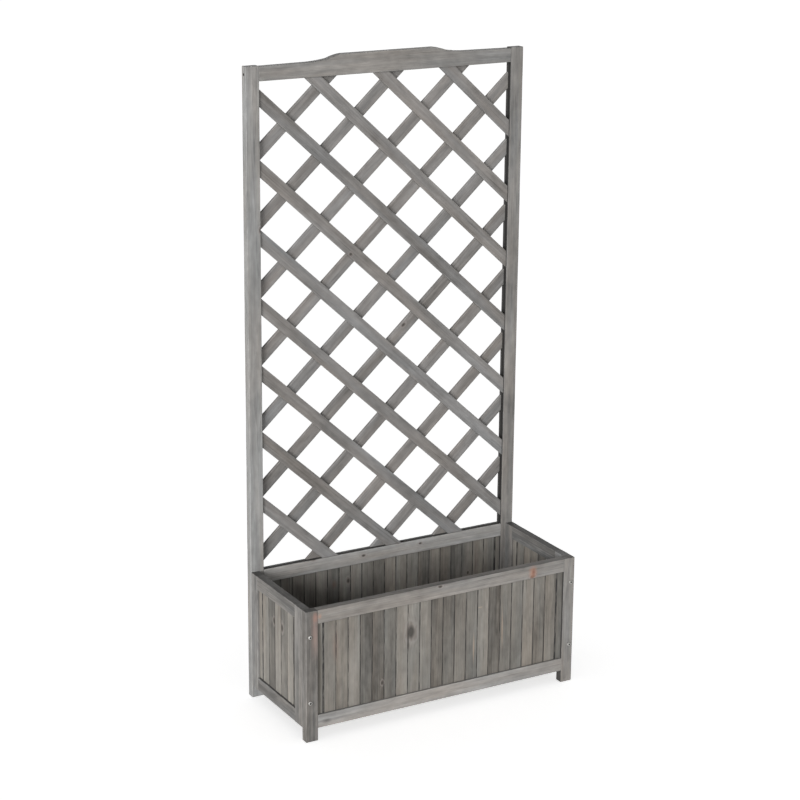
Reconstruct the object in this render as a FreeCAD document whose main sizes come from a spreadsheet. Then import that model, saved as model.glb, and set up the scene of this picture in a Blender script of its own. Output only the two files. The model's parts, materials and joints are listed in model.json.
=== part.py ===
"""Planter box with an arched lattice trellis, in grey-stained softwood.

Frame: +X to the right, +Y to the back, +Z up. The origin is the bottom centre of the
whole object, on the floor between its four feet. Lengths are in millimetres and angles
in degrees.

Construction: two tall rear posts, joined by three rails, carry the trellis above and the
back of the box below. Two short legs and two rails make the front. An end frame of two
stiles and two rails stands between each leg and post. Each of the four frames holds
upright boards in grooves, and the floor is made of loose-laid slats on two cleats.
"""
import FreeCAD, Part
import math
import os
import re
import Sketcher

doc = FreeCAD.newDocument("planter_with_trellis")
sheet = doc.addObject("Spreadsheet::Sheet", "sizes")

DRIVING_SIZES = [
    # the whole object
    ("overall_width", 715, "left to right, over the posts and legs"),
    ("overall_depth", 296, "front to back, over the legs and posts, screw heads apart"),
    ("post_height", 1487, "rear posts"),
    ("planter_height", 315, "legs, end frames and the rim of the box"),
    ("foot_height", 30, "floor to the lower rails"),
    # frame timbers
    ("frame_thick", 20, "all frame timbers, through their thickness"),
    ("post_width", 33, "rear posts, seen from the front"),
    ("leg_width", 30, "front legs, seen from the front"),
    ("rail_height", 32, "every rail, and the ends of the arched one"),
    ("front_stile_width", 36, "end frame, upright beside the leg"),
    ("rear_stile_width", 30, "end frame, upright beside the post"),
    # arched rail
    ("arch_drop", 2, "post top to the top of the arched rail's ends"),
    ("crown_rise", 15, "flat crown above the ends of the arched rail"),
    ("crown_width", 236, "flat crown, corner to corner"),
    ("shoulder_mid_run", 34, "crown corner to the turn of the shoulder curve, sideways"),
    ("shoulder_mid_rise", 6.5, "height of that turn above the rail's ends"),
    ("shoulder_run", 98, "crown corner to the foot of the shoulder, sideways"),
    ("crown_radius", 110, "upper, outward curve of a shoulder"),
    ("shoulder_radius", 340, "lower, hollow curve of a shoulder"),
    # boards of the box
    ("board_width", 31, "a full board with its joint"),
    ("board_thick", 8, "boards of all four panels"),
    ("board_joint", 0.4, "gap between neighbouring boards"),
    ("board_entry", 6, "how far a board runs into a groove"),
    ("board_end_gap", 2, "free depth of a groove behind a board"),
    ("fit_gap", 0.15, "play on each face of a board or slat in its groove"),
    # lattice
    ("slat_width", 28, "lattice slats"),
    ("slat_thick", 8, "lattice slats"),
    ("slat_angle", 42.3, "both layers, up from level"),
    ("slat_setback", 4, "front face of the posts to the front layer"),
    ("slat_entry", 5, "how far a front slat runs into a groove"),
    ("slat_end_gap", 1, "free depth of a groove behind a slat"),
    ("falling_lift", 3, "falling layer, above an even spread from corner to corner"),
    ("rising_drop", 6, "rising layer, below an even spread from corner to corner"),
    # floor of the box
    ("cleat_size", 20, "square cleats under the floor slats"),
    ("floor_thick", 10, "floor slats"),
    ("floor_gap", 10, "drainage gap between floor slats"),
    ("floor_play", 1, "play at the ends of the cleats and floor slats"),
    # fixings
    ("dowel_width", 8, "dowels in the corners of the frames"),
    ("dowel_length", 30, "half of it in each timber"),
    ("hole_play", 0.1, "play round a dowel, screw, nail or pin, on the radius"),
    ("bolt_width", 5, "shank of the screws that join the frames"),
    ("bolt_length", 40, "the same, under the head"),
    ("bolt_head_width", 9, "the same, across the head"),
    ("bolt_head_height", 2.6, "the same, proud of the timber"),
    ("bolt_socket_width", 4, "the same, across the key socket's corners"),
    ("bolt_socket_depth", 1.6, "the same"),
    ("bolt_low", 95, "floor to the lower screws"),
    ("bolt_high", 254, "floor to the upper screws"),
    ("screw_width", 4, "shank of the countersunk screws"),
    ("screw_head_width", 8, "the same, across the head"),
    ("screw_head_depth", 2.4, "the same, sunk in the timber"),
    ("arch_screw_length", 52, "through a post into the arched rail"),
    ("cleat_screw_length", 30, "through a cleat into a rail"),
    ("nail_width", 2, "floor nails"),
    ("nail_length", 24, "floor nails"),
    ("pin_width", 1.6, "pins where lattice slats cross"),
    ("pin_length", 14, "the same, driven from the back"),
]
LATTICE_SLATS = 10        # in each layer
FLOOR_SLATS = 8
LEAST_EDGE_BOARD = 8      # an edge board shows at least this much of its face
LEAST_PIN_MARGIN = 12     # a crossing nearer the frame than this has no pin

for row, (alias, value, note) in enumerate(DRIVING_SIZES, start=1):
    sheet.set(f"A{row}", note)
    sheet.set(f"B{row}", str(value))
    sheet.setAlias(f"B{row}", alias)
doc.recompute()
WORDS = re.compile(r"\b(" + "|".join(alias for alias, _, _ in DRIVING_SIZES) + r")\b")


def bound(formula):
    """A formula in the sheet's words, as the document writes it."""
    return WORDS.sub(r"sizes.\1", str(formula))


def worked_out(formula):
    """The value that a formula has now, for counting boards and slats."""
    value = sheet.evalExpression(bound(formula))
    return float(getattr(value, "Value", value))


def bind(thing, **formulas):
    """Ties properties of an object to formulas; a double underscore stands for a dot."""
    for name, formula in formulas.items():
        thing.setExpression(name.replace("__", "."), bound(formula))
    return thing


def place(thing, at):
    return bind(thing, Placement__Base__x=at[0], Placement__Base__y=at[1], Placement__Base__z=at[2])


def box(name, size, at):
    block = doc.addObject("Part::Box", name)
    bind(block, Length=size[0], Width=size[1], Height=size[2])
    return place(block, at)


AXES = {
    "+x": FreeCAD.Rotation(FreeCAD.Vector(0, 1, 0), 90),
    "-x": FreeCAD.Rotation(FreeCAD.Vector(0, 1, 0), -90),
    "+y": FreeCAD.Rotation(FreeCAD.Vector(1, 0, 0), -90),
    "-y": FreeCAD.Rotation(FreeCAD.Vector(1, 0, 0), 90),
    "-z": FreeCAD.Rotation(FreeCAD.Vector(1, 0, 0), 180),
}


def rod(name, width, length, at, axis):
    """A round bar that starts at a point and runs along an axis."""
    bar = doc.addObject("Part::Cylinder", name)
    bar.Placement.Rotation = AXES[axis]
    bind(bar, Radius=f"({width}) / 2", Height=length)
    return place(bar, at)


def cone(name, wide, narrow, length, at, axis):
    """A cone that starts wide at a point and narrows along an axis."""
    tip = doc.addObject("Part::Cone", name)
    tip.Placement.Rotation = AXES[axis]
    bind(tip, Radius1=f"({wide}) / 2", Radius2=f"({narrow}) / 2", Height=length)
    return place(tip, at)


def fused(name, parts):
    whole = doc.addObject("Part::MultiFuse", name)
    whole.Shapes = parts
    return whole


pieces = []               # every finished sub-part, in the order it is made
cuts = {}                 # sub-part name: the holes and grooves that it gets


def cut_into(names, tool):
    for name in names:
        cuts.setdefault(name, []).append(tool)


def finish(name, blank):
    """Cuts a blank's grooves and holes, and names the sub-part."""
    tools = cuts.pop(name, [])
    if tools:
        piece = doc.addObject("Part::Cut", name)
        piece.Base = blank
        piece.Tool = tools[0] if len(tools) == 1 else fused(f"{name}_cuts", tools)
    else:
        piece = blank
    piece.Label = name
    pieces.append(piece)
    return piece


def group(name, members):
    """Like pieces that share one sub-part, as separate solids."""
    piece = doc.addObject("Part::Compound", name)
    piece.Links = members
    piece.Label = name
    pieces.append(piece)


# Places that several sub-parts share
FRONT = "-overall_depth / 2"
BACK = "overall_depth / 2"
REAR_FRAME = "overall_depth / 2 - frame_thick"
FRONT_FRAME_BACK = "-overall_depth / 2 + frame_thick"
POST_INNER = "(overall_width / 2 - post_width)"
LEG_INNER = "(overall_width / 2 - leg_width)"
UPPER_RAIL = "planter_height - rail_height"
LOWER_RAIL_TOP = "foot_height + rail_height"
PANEL_HEIGHT = "(planter_height - 2 * rail_height - foot_height)"
LATTICE_TOP = "(post_height - arch_drop - rail_height)"
LATTICE_HEIGHT = f"({LATTICE_TOP} - planter_height)"
BOARD_GROOVE = "(board_entry + board_end_gap)"
BOARD_SLOT = "(board_thick + 2 * fit_gap)"
BOARD_FACE = "(frame_thick - board_thick) / 2"
SLAT_GROOVE = "(slat_entry + slat_end_gap)"
SLAT_SLOT = "(slat_thick + 2 * fit_gap)"
SIDES = {"left": -1, "right": 1}


def low_x(side, inset, width):
    """Lower X of something that lies so far in from the left or right face."""
    if side < 0:
        return f"-overall_width / 2 + ({inset})"
    return f"overall_width / 2 - ({inset}) - ({width})"


# Fixings first, because their holes go into the timbers -------------------------------

dowels = []


def dowel(first, second, at, axis):
    """A dowel whose middle is at the joint of two timbers; at is that joint."""
    index = "xyz".index(axis[1])
    number = len(dowels) + 1
    start = list(at)
    start[index] = f"{at[index]} - dowel_length / 2"
    dowels.append(rod(f"dowel_{number:02d}", "dowel_width", "dowel_length", start, axis))
    hole_length = "dowel_length + 2 * hole_play"
    start[index] = f"{at[index]} - ({hole_length}) / 2"
    hole = rod(f"dowel_hole_{number:02d}", "dowel_width + 2 * hole_play", hole_length, start, axis)
    cut_into([first, second], hole)


for word, side in SIDES.items():
    for height, front_rail, rear_rail, level in (
        ("foot_height + rail_height / 2", "front_bottom_rail", "rear_bottom_rail", "bottom"),
        ("planter_height - rail_height / 2", "front_top_rail", "middle_rail", "top"),
    ):
        front_middle = f"{FRONT} + frame_thick / 2"
        rear_middle = f"{BACK} - frame_thick / 2"
        end_middle = f"{side} * (overall_width - frame_thick) / 2"
        dowel(f"front_{word}_leg", front_rail, (f"{side} * {LEG_INNER}", front_middle, height), "+x")
        dowel(f"rear_{word}_post", rear_rail, (f"{side} * {POST_INNER}", rear_middle, height), "+x")
        rail = f"{word}_end_{level}_rail"
        front_joint = f"{FRONT_FRAME_BACK} + front_stile_width"
        rear_joint = f"{REAR_FRAME} - rear_stile_width"
        dowel(f"{word}_end_front_stile", rail, (end_middle, front_joint, height), "+y")
        dowel(f"{word}_end_rear_stile", rail, (end_middle, rear_joint, height), "+y")
group("corner_dowels", dowels)

frame_screws = []


def frame_screw(first, second, at, axis):
    """A round-headed screw through one timber into the next; at is under its head."""
    name = f"frame_screw_{len(frame_screws) + 1}"
    outward = "-" if axis[0] == "+" else "+"
    back = f"{outward}{axis[1]}"
    head = cone(f"{name}_head", "bolt_head_width", "bolt_head_width * 0.72", "bolt_head_height", at, back)
    shank = rod(f"{name}_shank", "bolt_width", "bolt_length", at, axis)
    socket = doc.addObject("Part::Prism", f"{name}_socket")
    socket.Polygon = 6
    socket.Placement.Rotation = AXES[axis]
    bind(socket, Circumradius="bolt_socket_width / 2", Height="bolt_socket_depth")
    index = "xyz".index(axis[1])
    top = list(at)
    top[index] = f"{at[index]} {outward} bolt_head_height"
    place(socket, top)
    screw = doc.addObject("Part::Cut", name)
    screw.Base = fused(f"{name}_blank", [head, shank])
    screw.Tool = socket
    frame_screws.append(screw)
    hole_length = "bolt_length + hole_play"
    hole = rod(f"{name}_hole", "bolt_width + 2 * hole_play", hole_length, at, axis)
    cut_into([first, second], hole)


for word, side in SIDES.items():
    x = f"{side} * (overall_width - frame_thick) / 2"
    for height in ("bolt_low", "bolt_high"):
        frame_screw(f"front_{word}_leg", f"{word}_end_front_stile", (x, FRONT, height), "+y")
        frame_screw(f"rear_{word}_post", f"{word}_end_rear_stile", (x, BACK, height), "-y")
group("frame_screws", frame_screws)


def countersunk_screw(name, length, at, axis, timbers):
    """A flat-headed screw, flush with the face that it starts from, and its holes."""
    head = cone(f"{name}_head", "screw_head_width", "screw_width", "screw_head_depth", at, axis)
    shank = rod(f"{name}_shank", "screw_width", length, at, axis)
    seat = cone(f"{name}_seat", "screw_head_width + 2 * hole_play", "screw_width + 2 * hole_play",
                "screw_head_depth", at, axis)
    hole = rod(f"{name}_hole", "screw_width + 2 * hole_play", f"{length} + hole_play", at, axis)
    cut_into(timbers, fused(f"{name}_cut", [seat, hole]))
    return fused(name, [head, shank])


arch_screws = []
for word, side in SIDES.items():
    at = (f"{side} * overall_width / 2", f"{BACK} - frame_thick / 2", f"{LATTICE_TOP} + rail_height / 2")
    arch_screws.append(countersunk_screw(f"{word}_arch_screw", "arch_screw_length", at,
                                         "-x" if side > 0 else "+x",
                                         [f"rear_{word}_post", "arched_top_rail"]))
group("arch_rail_screws", arch_screws)

FLOOR_PITCH = f"(overall_width - 2 * frame_thick) / {FLOOR_SLATS}"
CLEAT_TOP = f"({LOWER_RAIL_TOP} - floor_thick)"
CLEATS = {"front_cleat": ("front_bottom_rail", 1), "rear_cleat": ("rear_bottom_rail", -1)}
cleat_screws = []
for cleat, (rail, inward) in CLEATS.items():
    face = f"{-inward} * (overall_depth / 2 - frame_thick - cleat_size)"
    for gap in (-3, -1, 1, 3):        # in the gaps between floor slats, clear of the nails
        at = (f"{gap} * {FLOOR_PITCH}", face, f"{CLEAT_TOP} - cleat_size / 2")
        cleat_screws.append(countersunk_screw(f"{cleat}_screw_{gap + 4}", "cleat_screw_length", at,
                                              "-y" if inward > 0 else "+y", [cleat, rail]))
group("cleat_screws", cleat_screws)

floor_nails = []
for number in range(1, FLOOR_SLATS + 1):
    middle = f"({number} - ({FLOOR_SLATS} + 1) / 2) * {FLOOR_PITCH}"
    for cleat, (rail, inward) in CLEATS.items():
        y = f"{-inward} * (overall_depth / 2 - frame_thick - cleat_size / 2)"
        for hand in (-1, 1):
            at = (f"{middle} + {hand} * ({FLOOR_PITCH} - floor_gap) / 4", y, LOWER_RAIL_TOP)
            name = f"floor_nail_{len(floor_nails) + 1:02d}"
            floor_nails.append(rod(name, "nail_width", "nail_length", at, "-z"))
            hole = rod(f"{name}_hole", "nail_width + 2 * hole_play", "nail_length + hole_play", at, "-z")
            cut_into([f"floor_slat_{number}", cleat], hole)
group("floor_nails", floor_nails)


# Lattice: two layers of slats, spread evenly from corner to corner of the opening --------

SLOPE = "tan(slat_angle)"
LATTICE_WIDTH = f"(2 * {POST_INNER})"
SLAT_PITCH_UP = f"(({LATTICE_HEIGHT} + {SLOPE} * {LATTICE_WIDTH}) / ({LATTICE_SLATS} + 1))"
SLAT_NUMBERS = range(1, LATTICE_SLATS + 1)


def slat_height(layer, number):
    """Height of a slat's centre line on the left post's inner face; slat 1 is the highest."""
    if layer == "falling":
        return f"({LATTICE_TOP} + {SLOPE} * {LATTICE_WIDTH} - {number} * {SLAT_PITCH_UP} + falling_lift)"
    return f"({LATTICE_TOP} - {number} * {SLAT_PITCH_UP} - rising_drop)"


def slat_name(layer, number):
    place_in_layer = "front" if layer == "falling" else "back"
    return f"lattice_{place_in_layer}_{number:02d}"


pins = []
for falling in SLAT_NUMBERS:
    for rising in SLAT_NUMBERS:
        high, low = slat_height("falling", falling), slat_height("rising", rising)
        x = f"(-{POST_INNER} + ({high} - {low}) / (2 * {SLOPE}))"
        z = f"(({high} + {low}) / 2)"
        margin = min(worked_out(f"{POST_INNER} - abs({x})"), worked_out(f"{z} - planter_height"),
                     worked_out(f"{LATTICE_TOP} - {z}"))
        if margin < LEAST_PIN_MARGIN:
            continue
        at = (x, f"{REAR_FRAME} + slat_setback + 2 * slat_thick", z)
        name = f"lattice_pin_{len(pins) + 1:02d}"
        pins.append(rod(name, "pin_width", "pin_length", at, "-y"))
        hole = rod(f"{name}_hole", "pin_width + 2 * hole_play", "pin_length + hole_play", at, "-y")
        cut_into([slat_name("falling", falling), slat_name("rising", rising)], hole)
group("lattice_pins", pins)

for layer, lean, entry, depth in (("falling", 1, "slat_entry", 0), ("rising", -1, "0", 1)):
    opening = box(f"{layer}_opening",
                  (f"{LATTICE_WIDTH} + 2 * {entry}", "3 * frame_thick", f"{LATTICE_HEIGHT} + 2 * {entry}"),
                  (f"-{POST_INNER} - {entry}", f"{REAR_FRAME} - frame_thick", f"planter_height - {entry}"))
    run_in = "(2 * slat_width + 2 * slat_entry)"      # the strip starts this far before the post
    length = f"({LATTICE_WIDTH} / cos(slat_angle) + 2 * {run_in})"
    across = f"(-{POST_INNER} - {run_in} * cos(slat_angle) - {lean} * slat_width / 2 * sin(slat_angle))"
    for number in SLAT_NUMBERS:
        up = (f"({slat_height(layer, number)} + {lean} * {run_in} * sin(slat_angle)"
              f" - slat_width / 2 * cos(slat_angle))")
        name = slat_name(layer, number)
        strip = box(f"{name}_strip", (length, "slat_thick", "slat_width"),
                    (across, f"{REAR_FRAME} + slat_setback + {depth} * slat_thick", up))
        strip.Placement.Rotation = FreeCAD.Rotation(FreeCAD.Vector(0, lean, 0), 1)
        bind(strip, Placement__Rotation__Angle="slat_angle")
        blank = doc.addObject("Part::Common", f"{name}_blank")
        blank.Base = strip
        blank.Tool = opening
        finish(name, blank)


# Grooves -----------------------------------------------------------------------------------

PANEL_GROOVE_LOW = f"{LOWER_RAIL_TOP} - {BOARD_GROOVE}"
PANEL_GROOVE_LENGTH = f"{PANEL_HEIGHT} + 2 * {BOARD_GROOVE}"


def rail_groove(rail, opens, along, start, length, face):
    """A board groove in a rail's edge; opens is up or down, face the frame's outer face."""
    bottom = {
        "up": f"{LOWER_RAIL_TOP} - {BOARD_GROOVE}",
        "down": UPPER_RAIL,
    }[opens]
    across = f"{face} + {BOARD_FACE} - fit_gap"
    if along == "x":
        tool = box(f"{rail}_board_groove", (length, BOARD_SLOT, BOARD_GROOVE), (start, across, bottom))
    else:
        tool = box(f"{rail}_board_groove", (BOARD_SLOT, length, BOARD_GROOVE), (across, start, bottom))
    cut_into([rail], tool)


for rail, opens, half, face in (
    ("front_bottom_rail", "up", LEG_INNER, FRONT),
    ("front_top_rail", "down", LEG_INNER, FRONT),
    ("rear_bottom_rail", "up", POST_INNER, REAR_FRAME),
    ("middle_rail", "down", POST_INNER, REAR_FRAME),
):
    rail_groove(rail, opens, "x", f"-{half}", f"2 * {half}", face)

END_OPENING_START = f"({FRONT_FRAME_BACK} + front_stile_width)"
END_OPENING = "(overall_depth - 2 * frame_thick - front_stile_width - rear_stile_width)"
for word, side in SIDES.items():
    face = low_x(side, "0", "frame_thick")
    across = f"{face} + {BOARD_FACE} - fit_gap"
    rail_groove(f"{word}_end_bottom_rail", "up", "y", END_OPENING_START, END_OPENING, face)
    rail_groove(f"{word}_end_top_rail", "down", "y", END_OPENING_START, END_OPENING, face)
    for stile, start in (
        ("front", f"{END_OPENING_START} - {BOARD_GROOVE}"),
        ("rear", f"{END_OPENING_START} + {END_OPENING}"),
    ):
        name = f"{word}_end_{stile}_stile"
        cut_into([name], box(f"{name}_groove", (BOARD_SLOT, BOARD_GROOVE, PANEL_GROOVE_LENGTH),
                             (across, start, PANEL_GROOVE_LOW)))
    for name, inner, face_y in (
        (f"front_{word}_leg", "leg_width", FRONT),
        (f"rear_{word}_post", "post_width", REAR_FRAME),
    ):
        start = low_x(side, f"{inner} - {BOARD_GROOVE}", BOARD_GROOVE)
        cut_into([name], box(f"{name}_board_groove", (BOARD_GROOVE, BOARD_SLOT, PANEL_GROOVE_LENGTH),
                             (start, f"{face_y} + {BOARD_FACE} - fit_gap", PANEL_GROOVE_LOW)))
    name = f"rear_{word}_post"
    start = low_x(side, f"post_width - {SLAT_GROOVE}", SLAT_GROOVE)
    cut_into([name], box(f"{name}_slat_groove",
                         (SLAT_GROOVE, SLAT_SLOT, f"{LATTICE_HEIGHT} + 2 * {SLAT_GROOVE}"),
                         (start, f"{REAR_FRAME} + slat_setback - fit_gap",
                          f"planter_height - {SLAT_GROOVE}")))

for rail, bottom in (("middle_rail", f"planter_height - {SLAT_GROOVE}"), ("arched_top_rail", LATTICE_TOP)):
    cut_into([rail], box(f"{rail}_slat_groove", (LATTICE_WIDTH, SLAT_SLOT, SLAT_GROOVE),
                         (f"-{POST_INNER}", f"{REAR_FRAME} + slat_setback - fit_gap", bottom)))


# Frame timbers -----------------------------------------------------------------------------

for word, side in SIDES.items():
    name = f"rear_{word}_post"
    finish(name, box(f"{name}_blank", ("post_width", "frame_thick", "post_height"),
                     (low_x(side, "0", "post_width"), REAR_FRAME, "0")))
    name = f"front_{word}_leg"
    finish(name, box(f"{name}_blank", ("leg_width", "frame_thick", "planter_height"),
                     (low_x(side, "0", "leg_width"), FRONT, "0")))
    x = low_x(side, "0", "frame_thick")
    for stile, width, y in (
        ("front", "front_stile_width", FRONT_FRAME_BACK),
        ("rear", "rear_stile_width", f"{REAR_FRAME} - rear_stile_width"),
    ):
        name = f"{word}_end_{stile}_stile"
        finish(name, box(f"{name}_blank", ("frame_thick", width, "planter_height - foot_height"),
                         (x, y, "foot_height")))
    for level, z in (("bottom", "foot_height"), ("top", UPPER_RAIL)):
        name = f"{word}_end_{level}_rail"
        finish(name, box(f"{name}_blank", ("frame_thick", END_OPENING, "rail_height"),
                         (x, END_OPENING_START, z)))

for name, half, y, z in (
    ("front_bottom_rail", LEG_INNER, FRONT, "foot_height"),
    ("front_top_rail", LEG_INNER, FRONT, UPPER_RAIL),
    ("rear_bottom_rail", POST_INNER, REAR_FRAME, "foot_height"),
    ("middle_rail", POST_INNER, REAR_FRAME, UPPER_RAIL),
):
    finish(name, box(f"{name}_blank", (f"2 * {half}", "frame_thick", "rail_height"), (f"-{half}", y, z)))


# Arched rail: half its outline in a sketch, padded through the timber and mirrored ----------

arch = doc.addObject("PartDesign::Body", "arch_blank")
planes = {feature.Role: feature for feature in arch.Origin.OriginFeatures if hasattr(feature, "Role")}
outline = arch.newObject("Sketcher::SketchObject", "arch_outline")
outline.AttachmentSupport = (planes["XZ_Plane"], [""])
outline.MapMode = "FlatFace"

CROWN_CORNER = ("crown_width / 2", "rail_height + crown_rise")
TURN = ("crown_width / 2 + shoulder_mid_run", "rail_height + shoulder_mid_rise")
SHOULDER_FOOT = ("crown_width / 2 + shoulder_run", "rail_height + crown_rise / 12")
CORNERS = [
    ("middle_bottom", ("0", "0")),
    ("end_bottom", (POST_INNER, "0")),
    ("end_top", (POST_INNER, "rail_height")),
    ("shoulder_foot", SHOULDER_FOOT),
    ("turn", TURN),
    ("crown_corner", CROWN_CORNER),
    ("crown_middle", ("0", "rail_height + crown_rise")),
]


def arc_between(start, end, radius, centre_above):
    """The arc of a circle through two points, with its centre above or below them."""
    middle = (start + end) * 0.5
    half = (end - start).Length / 2
    reach = math.sqrt(radius ** 2 - half ** 2)
    along = (end - start).normalize()
    upright = FreeCAD.Vector(-along.y, along.x, 0)
    if (upright.y > 0) != centre_above:
        upright = upright * -1
    centre = middle + upright * reach
    ends = [math.atan2(point.y - centre.y, point.x - centre.x) for point in (start, end)]
    circle = Part.Circle(centre, FreeCAD.Vector(0, 0, 1), radius)
    low, high = sorted(angle % (2 * math.pi) for angle in ends)
    return Part.ArcOfCircle(circle, low, high)


points = [FreeCAD.Vector(worked_out(x), worked_out(y), 0) for _, (x, y) in CORNERS]
CURVES = {3: ("shoulder_radius", True), 4: ("crown_radius", False)}
for index, start in enumerate(points):
    end = points[(index + 1) % len(points)]
    if index in CURVES:
        radius, above = CURVES[index]
        outline.addGeometry(arc_between(start, end, worked_out(radius), above), False)
    else:
        outline.addGeometry(Part.LineSegment(start, end), False)


def end_at(index, point):
    """Which end of a piece of the outline lies at a point: 1 its start, 2 its end."""
    edge = outline.Geometry[index]
    return 1 if (edge.StartPoint - point).Length < (edge.EndPoint - point).Length else 2


for index, (name, (x, y)) in enumerate(CORNERS):
    before = (index - 1) % len(points)
    here = end_at(index, points[index])
    outline.addConstraint(Sketcher.Constraint("Coincident", before, end_at(before, points[index]),
                                              index, here))
    if name == "middle_bottom":
        outline.addConstraint(Sketcher.Constraint("Coincident", index, here, -1, 1))
        continue
    for way, formula, value in (("X", x, points[index].x), ("Y", y, points[index].y)):
        if formula == "0":
            axis = -2 if way == "X" else -1
            outline.addConstraint(Sketcher.Constraint("PointOnObject", index, here, axis))
            continue
        number = outline.addConstraint(Sketcher.Constraint(f"Distance{way}", -1, 1, index, here, value))
        outline.setExpression(f"Constraints[{number}]", bound(formula))
for index, (radius, _) in CURVES.items():
    number = outline.addConstraint(Sketcher.Constraint("Radius", index, worked_out(radius)))
    outline.setExpression(f"Constraints[{number}]", bound(radius))

half_arch = arch.newObject("PartDesign::Pad", "half_arch")
half_arch.Profile = outline
bind(half_arch, Length="frame_thick")
whole_arch = arch.newObject("PartDesign::Mirrored", "whole_arch")
whole_arch.Originals = [half_arch]
whole_arch.MirrorPlane = (planes["YZ_Plane"], [""])
arch.Tip = whole_arch
place(arch, ("0", BACK, LATTICE_TOP))
finish("arched_top_rail", arch)


# Boards of the four panels --------------------------------------------------------------------

def panel(name, along, start, width, face):
    """Upright boards that fill an opening: full ones about its middle, narrower ones at its edges."""
    opening, full = worked_out(width), worked_out("board_width")
    count = max(1, math.floor((opening - 2 * LEAST_EDGE_BOARD) / full))
    edge = f"(({width} - {count} * board_width) / 2)"
    spans = [(f"{start} - board_entry", f"{edge} + board_entry - board_joint / 2")]
    for number in range(count):
        spans.append((f"{start} + {edge} + {number} * board_width + board_joint / 2",
                      "board_width - board_joint"))
    spans.append((f"{start} + {edge} + {count} * board_width + board_joint / 2",
                  f"{edge} + board_entry - board_joint / 2"))
    boards = []
    for number, (low, across) in enumerate(spans, start=1):
        size = [across, "board_thick", f"{PANEL_HEIGHT} + 2 * board_entry"]
        at = [low, f"{face} + {BOARD_FACE}", f"{LOWER_RAIL_TOP} - board_entry"]
        if along == "y":
            size[:2] = size[1::-1]
            at[:2] = at[1::-1]
        boards.append(box(f"{name}_{number:02d}", size, at))
    group(name, boards)


panel("front_boards", "x", f"-{LEG_INNER}", f"2 * {LEG_INNER}", FRONT)
panel("back_boards", "x", f"-{POST_INNER}", f"2 * {POST_INNER}", REAR_FRAME)
for word, side in SIDES.items():
    panel(f"{word}_end_boards", "y", END_OPENING_START, END_OPENING, low_x(side, "0", "frame_thick"))


# Floor of the box -------------------------------------------------------------------------------

INNER_WIDTH = "(overall_width - 2 * frame_thick)"
INNER_DEPTH = "(overall_depth - 2 * frame_thick)"
for cleat, y in (("front_cleat", FRONT_FRAME_BACK), ("rear_cleat", f"{REAR_FRAME} - cleat_size")):
    finish(cleat, box(f"{cleat}_blank", (f"{INNER_WIDTH} - 2 * floor_play", "cleat_size", "cleat_size"),
                      (f"-{INNER_WIDTH} / 2 + floor_play", y, f"{CLEAT_TOP} - cleat_size")))
for number in range(1, FLOOR_SLATS + 1):
    name = f"floor_slat_{number}"
    start = f"-{INNER_WIDTH} / 2 + ({number} - 1) * {FLOOR_PITCH} + floor_gap / 2"
    finish(name, box(f"{name}_blank",
                     (f"{FLOOR_PITCH} - floor_gap", f"{INNER_DEPTH} - 2 * floor_play", "floor_thick"),
                     (start, f"-{INNER_DEPTH} / 2 + floor_play", CLEAT_TOP)))


# Check every object, then write one file for each sub-part ----------------------------------------

doc.recompute()
assert not cuts, f"no timber takes these cuts: {sorted(cuts)}"
for thing in doc.Objects:
    assert not {"Invalid", "Error"} & set(thing.State), f"{thing.Name} failed: {thing.State}"
os.makedirs("parts", exist_ok=True)
for piece in pieces:
    shape = piece.Shape
    assert not shape.isNull() and shape.isValid() and shape.Solids, f"{piece.Label} has no valid solid"
    shape.exportStep(os.path.join("parts", f"{piece.Label}.step"))
print(f"{len(pieces)} sub-parts, {sum(len(piece.Shape.Solids) for piece in pieces)} solids")
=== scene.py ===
# %% [markdown]
# # A planter box with an arched lattice trellis
# The real object is flat-packed garden furniture: planed softwood timbers, dipped in a thin
# grey stain, screwed together with round-headed key screws. The construction is loaded as a
# fixed frame of named timbers. This lesson gives every timber its eased edges, its own grain
# and its own shade of stain, and makes the boards, the lattice and the fixings by rule.

# %% Load the frame
import json
import math
import random

import bmesh
import bpy
from mathutils import Matrix, Vector


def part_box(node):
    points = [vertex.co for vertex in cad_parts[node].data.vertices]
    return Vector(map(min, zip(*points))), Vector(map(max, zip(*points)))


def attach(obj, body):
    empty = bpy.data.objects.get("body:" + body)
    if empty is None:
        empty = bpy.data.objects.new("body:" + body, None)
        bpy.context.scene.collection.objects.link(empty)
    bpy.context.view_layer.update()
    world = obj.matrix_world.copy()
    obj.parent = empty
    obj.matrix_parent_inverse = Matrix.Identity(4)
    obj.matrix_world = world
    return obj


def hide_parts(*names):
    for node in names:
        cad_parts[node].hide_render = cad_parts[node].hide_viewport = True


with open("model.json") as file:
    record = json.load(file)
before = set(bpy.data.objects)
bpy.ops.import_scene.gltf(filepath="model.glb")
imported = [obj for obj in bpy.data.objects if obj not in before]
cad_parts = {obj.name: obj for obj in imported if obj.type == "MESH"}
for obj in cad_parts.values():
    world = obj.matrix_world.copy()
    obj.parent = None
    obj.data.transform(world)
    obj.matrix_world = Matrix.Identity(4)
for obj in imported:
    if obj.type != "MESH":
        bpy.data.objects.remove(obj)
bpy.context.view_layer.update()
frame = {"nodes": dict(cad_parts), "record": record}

MM = 0.001

# %% [markdown]
# ## Camera
# The photograph was taken a little from the left and from above, with a long lens. Its
# uprights are perfectly parallel, which a view camera does by sliding its film down. A slide
# as long as that would push the object out of every other view, so the camera here slides
# only a twentieth of the frame and points down for the rest. Its place was worked out from
# the corners of the object, so that the slopes of the top rail and of the box both agree.

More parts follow.
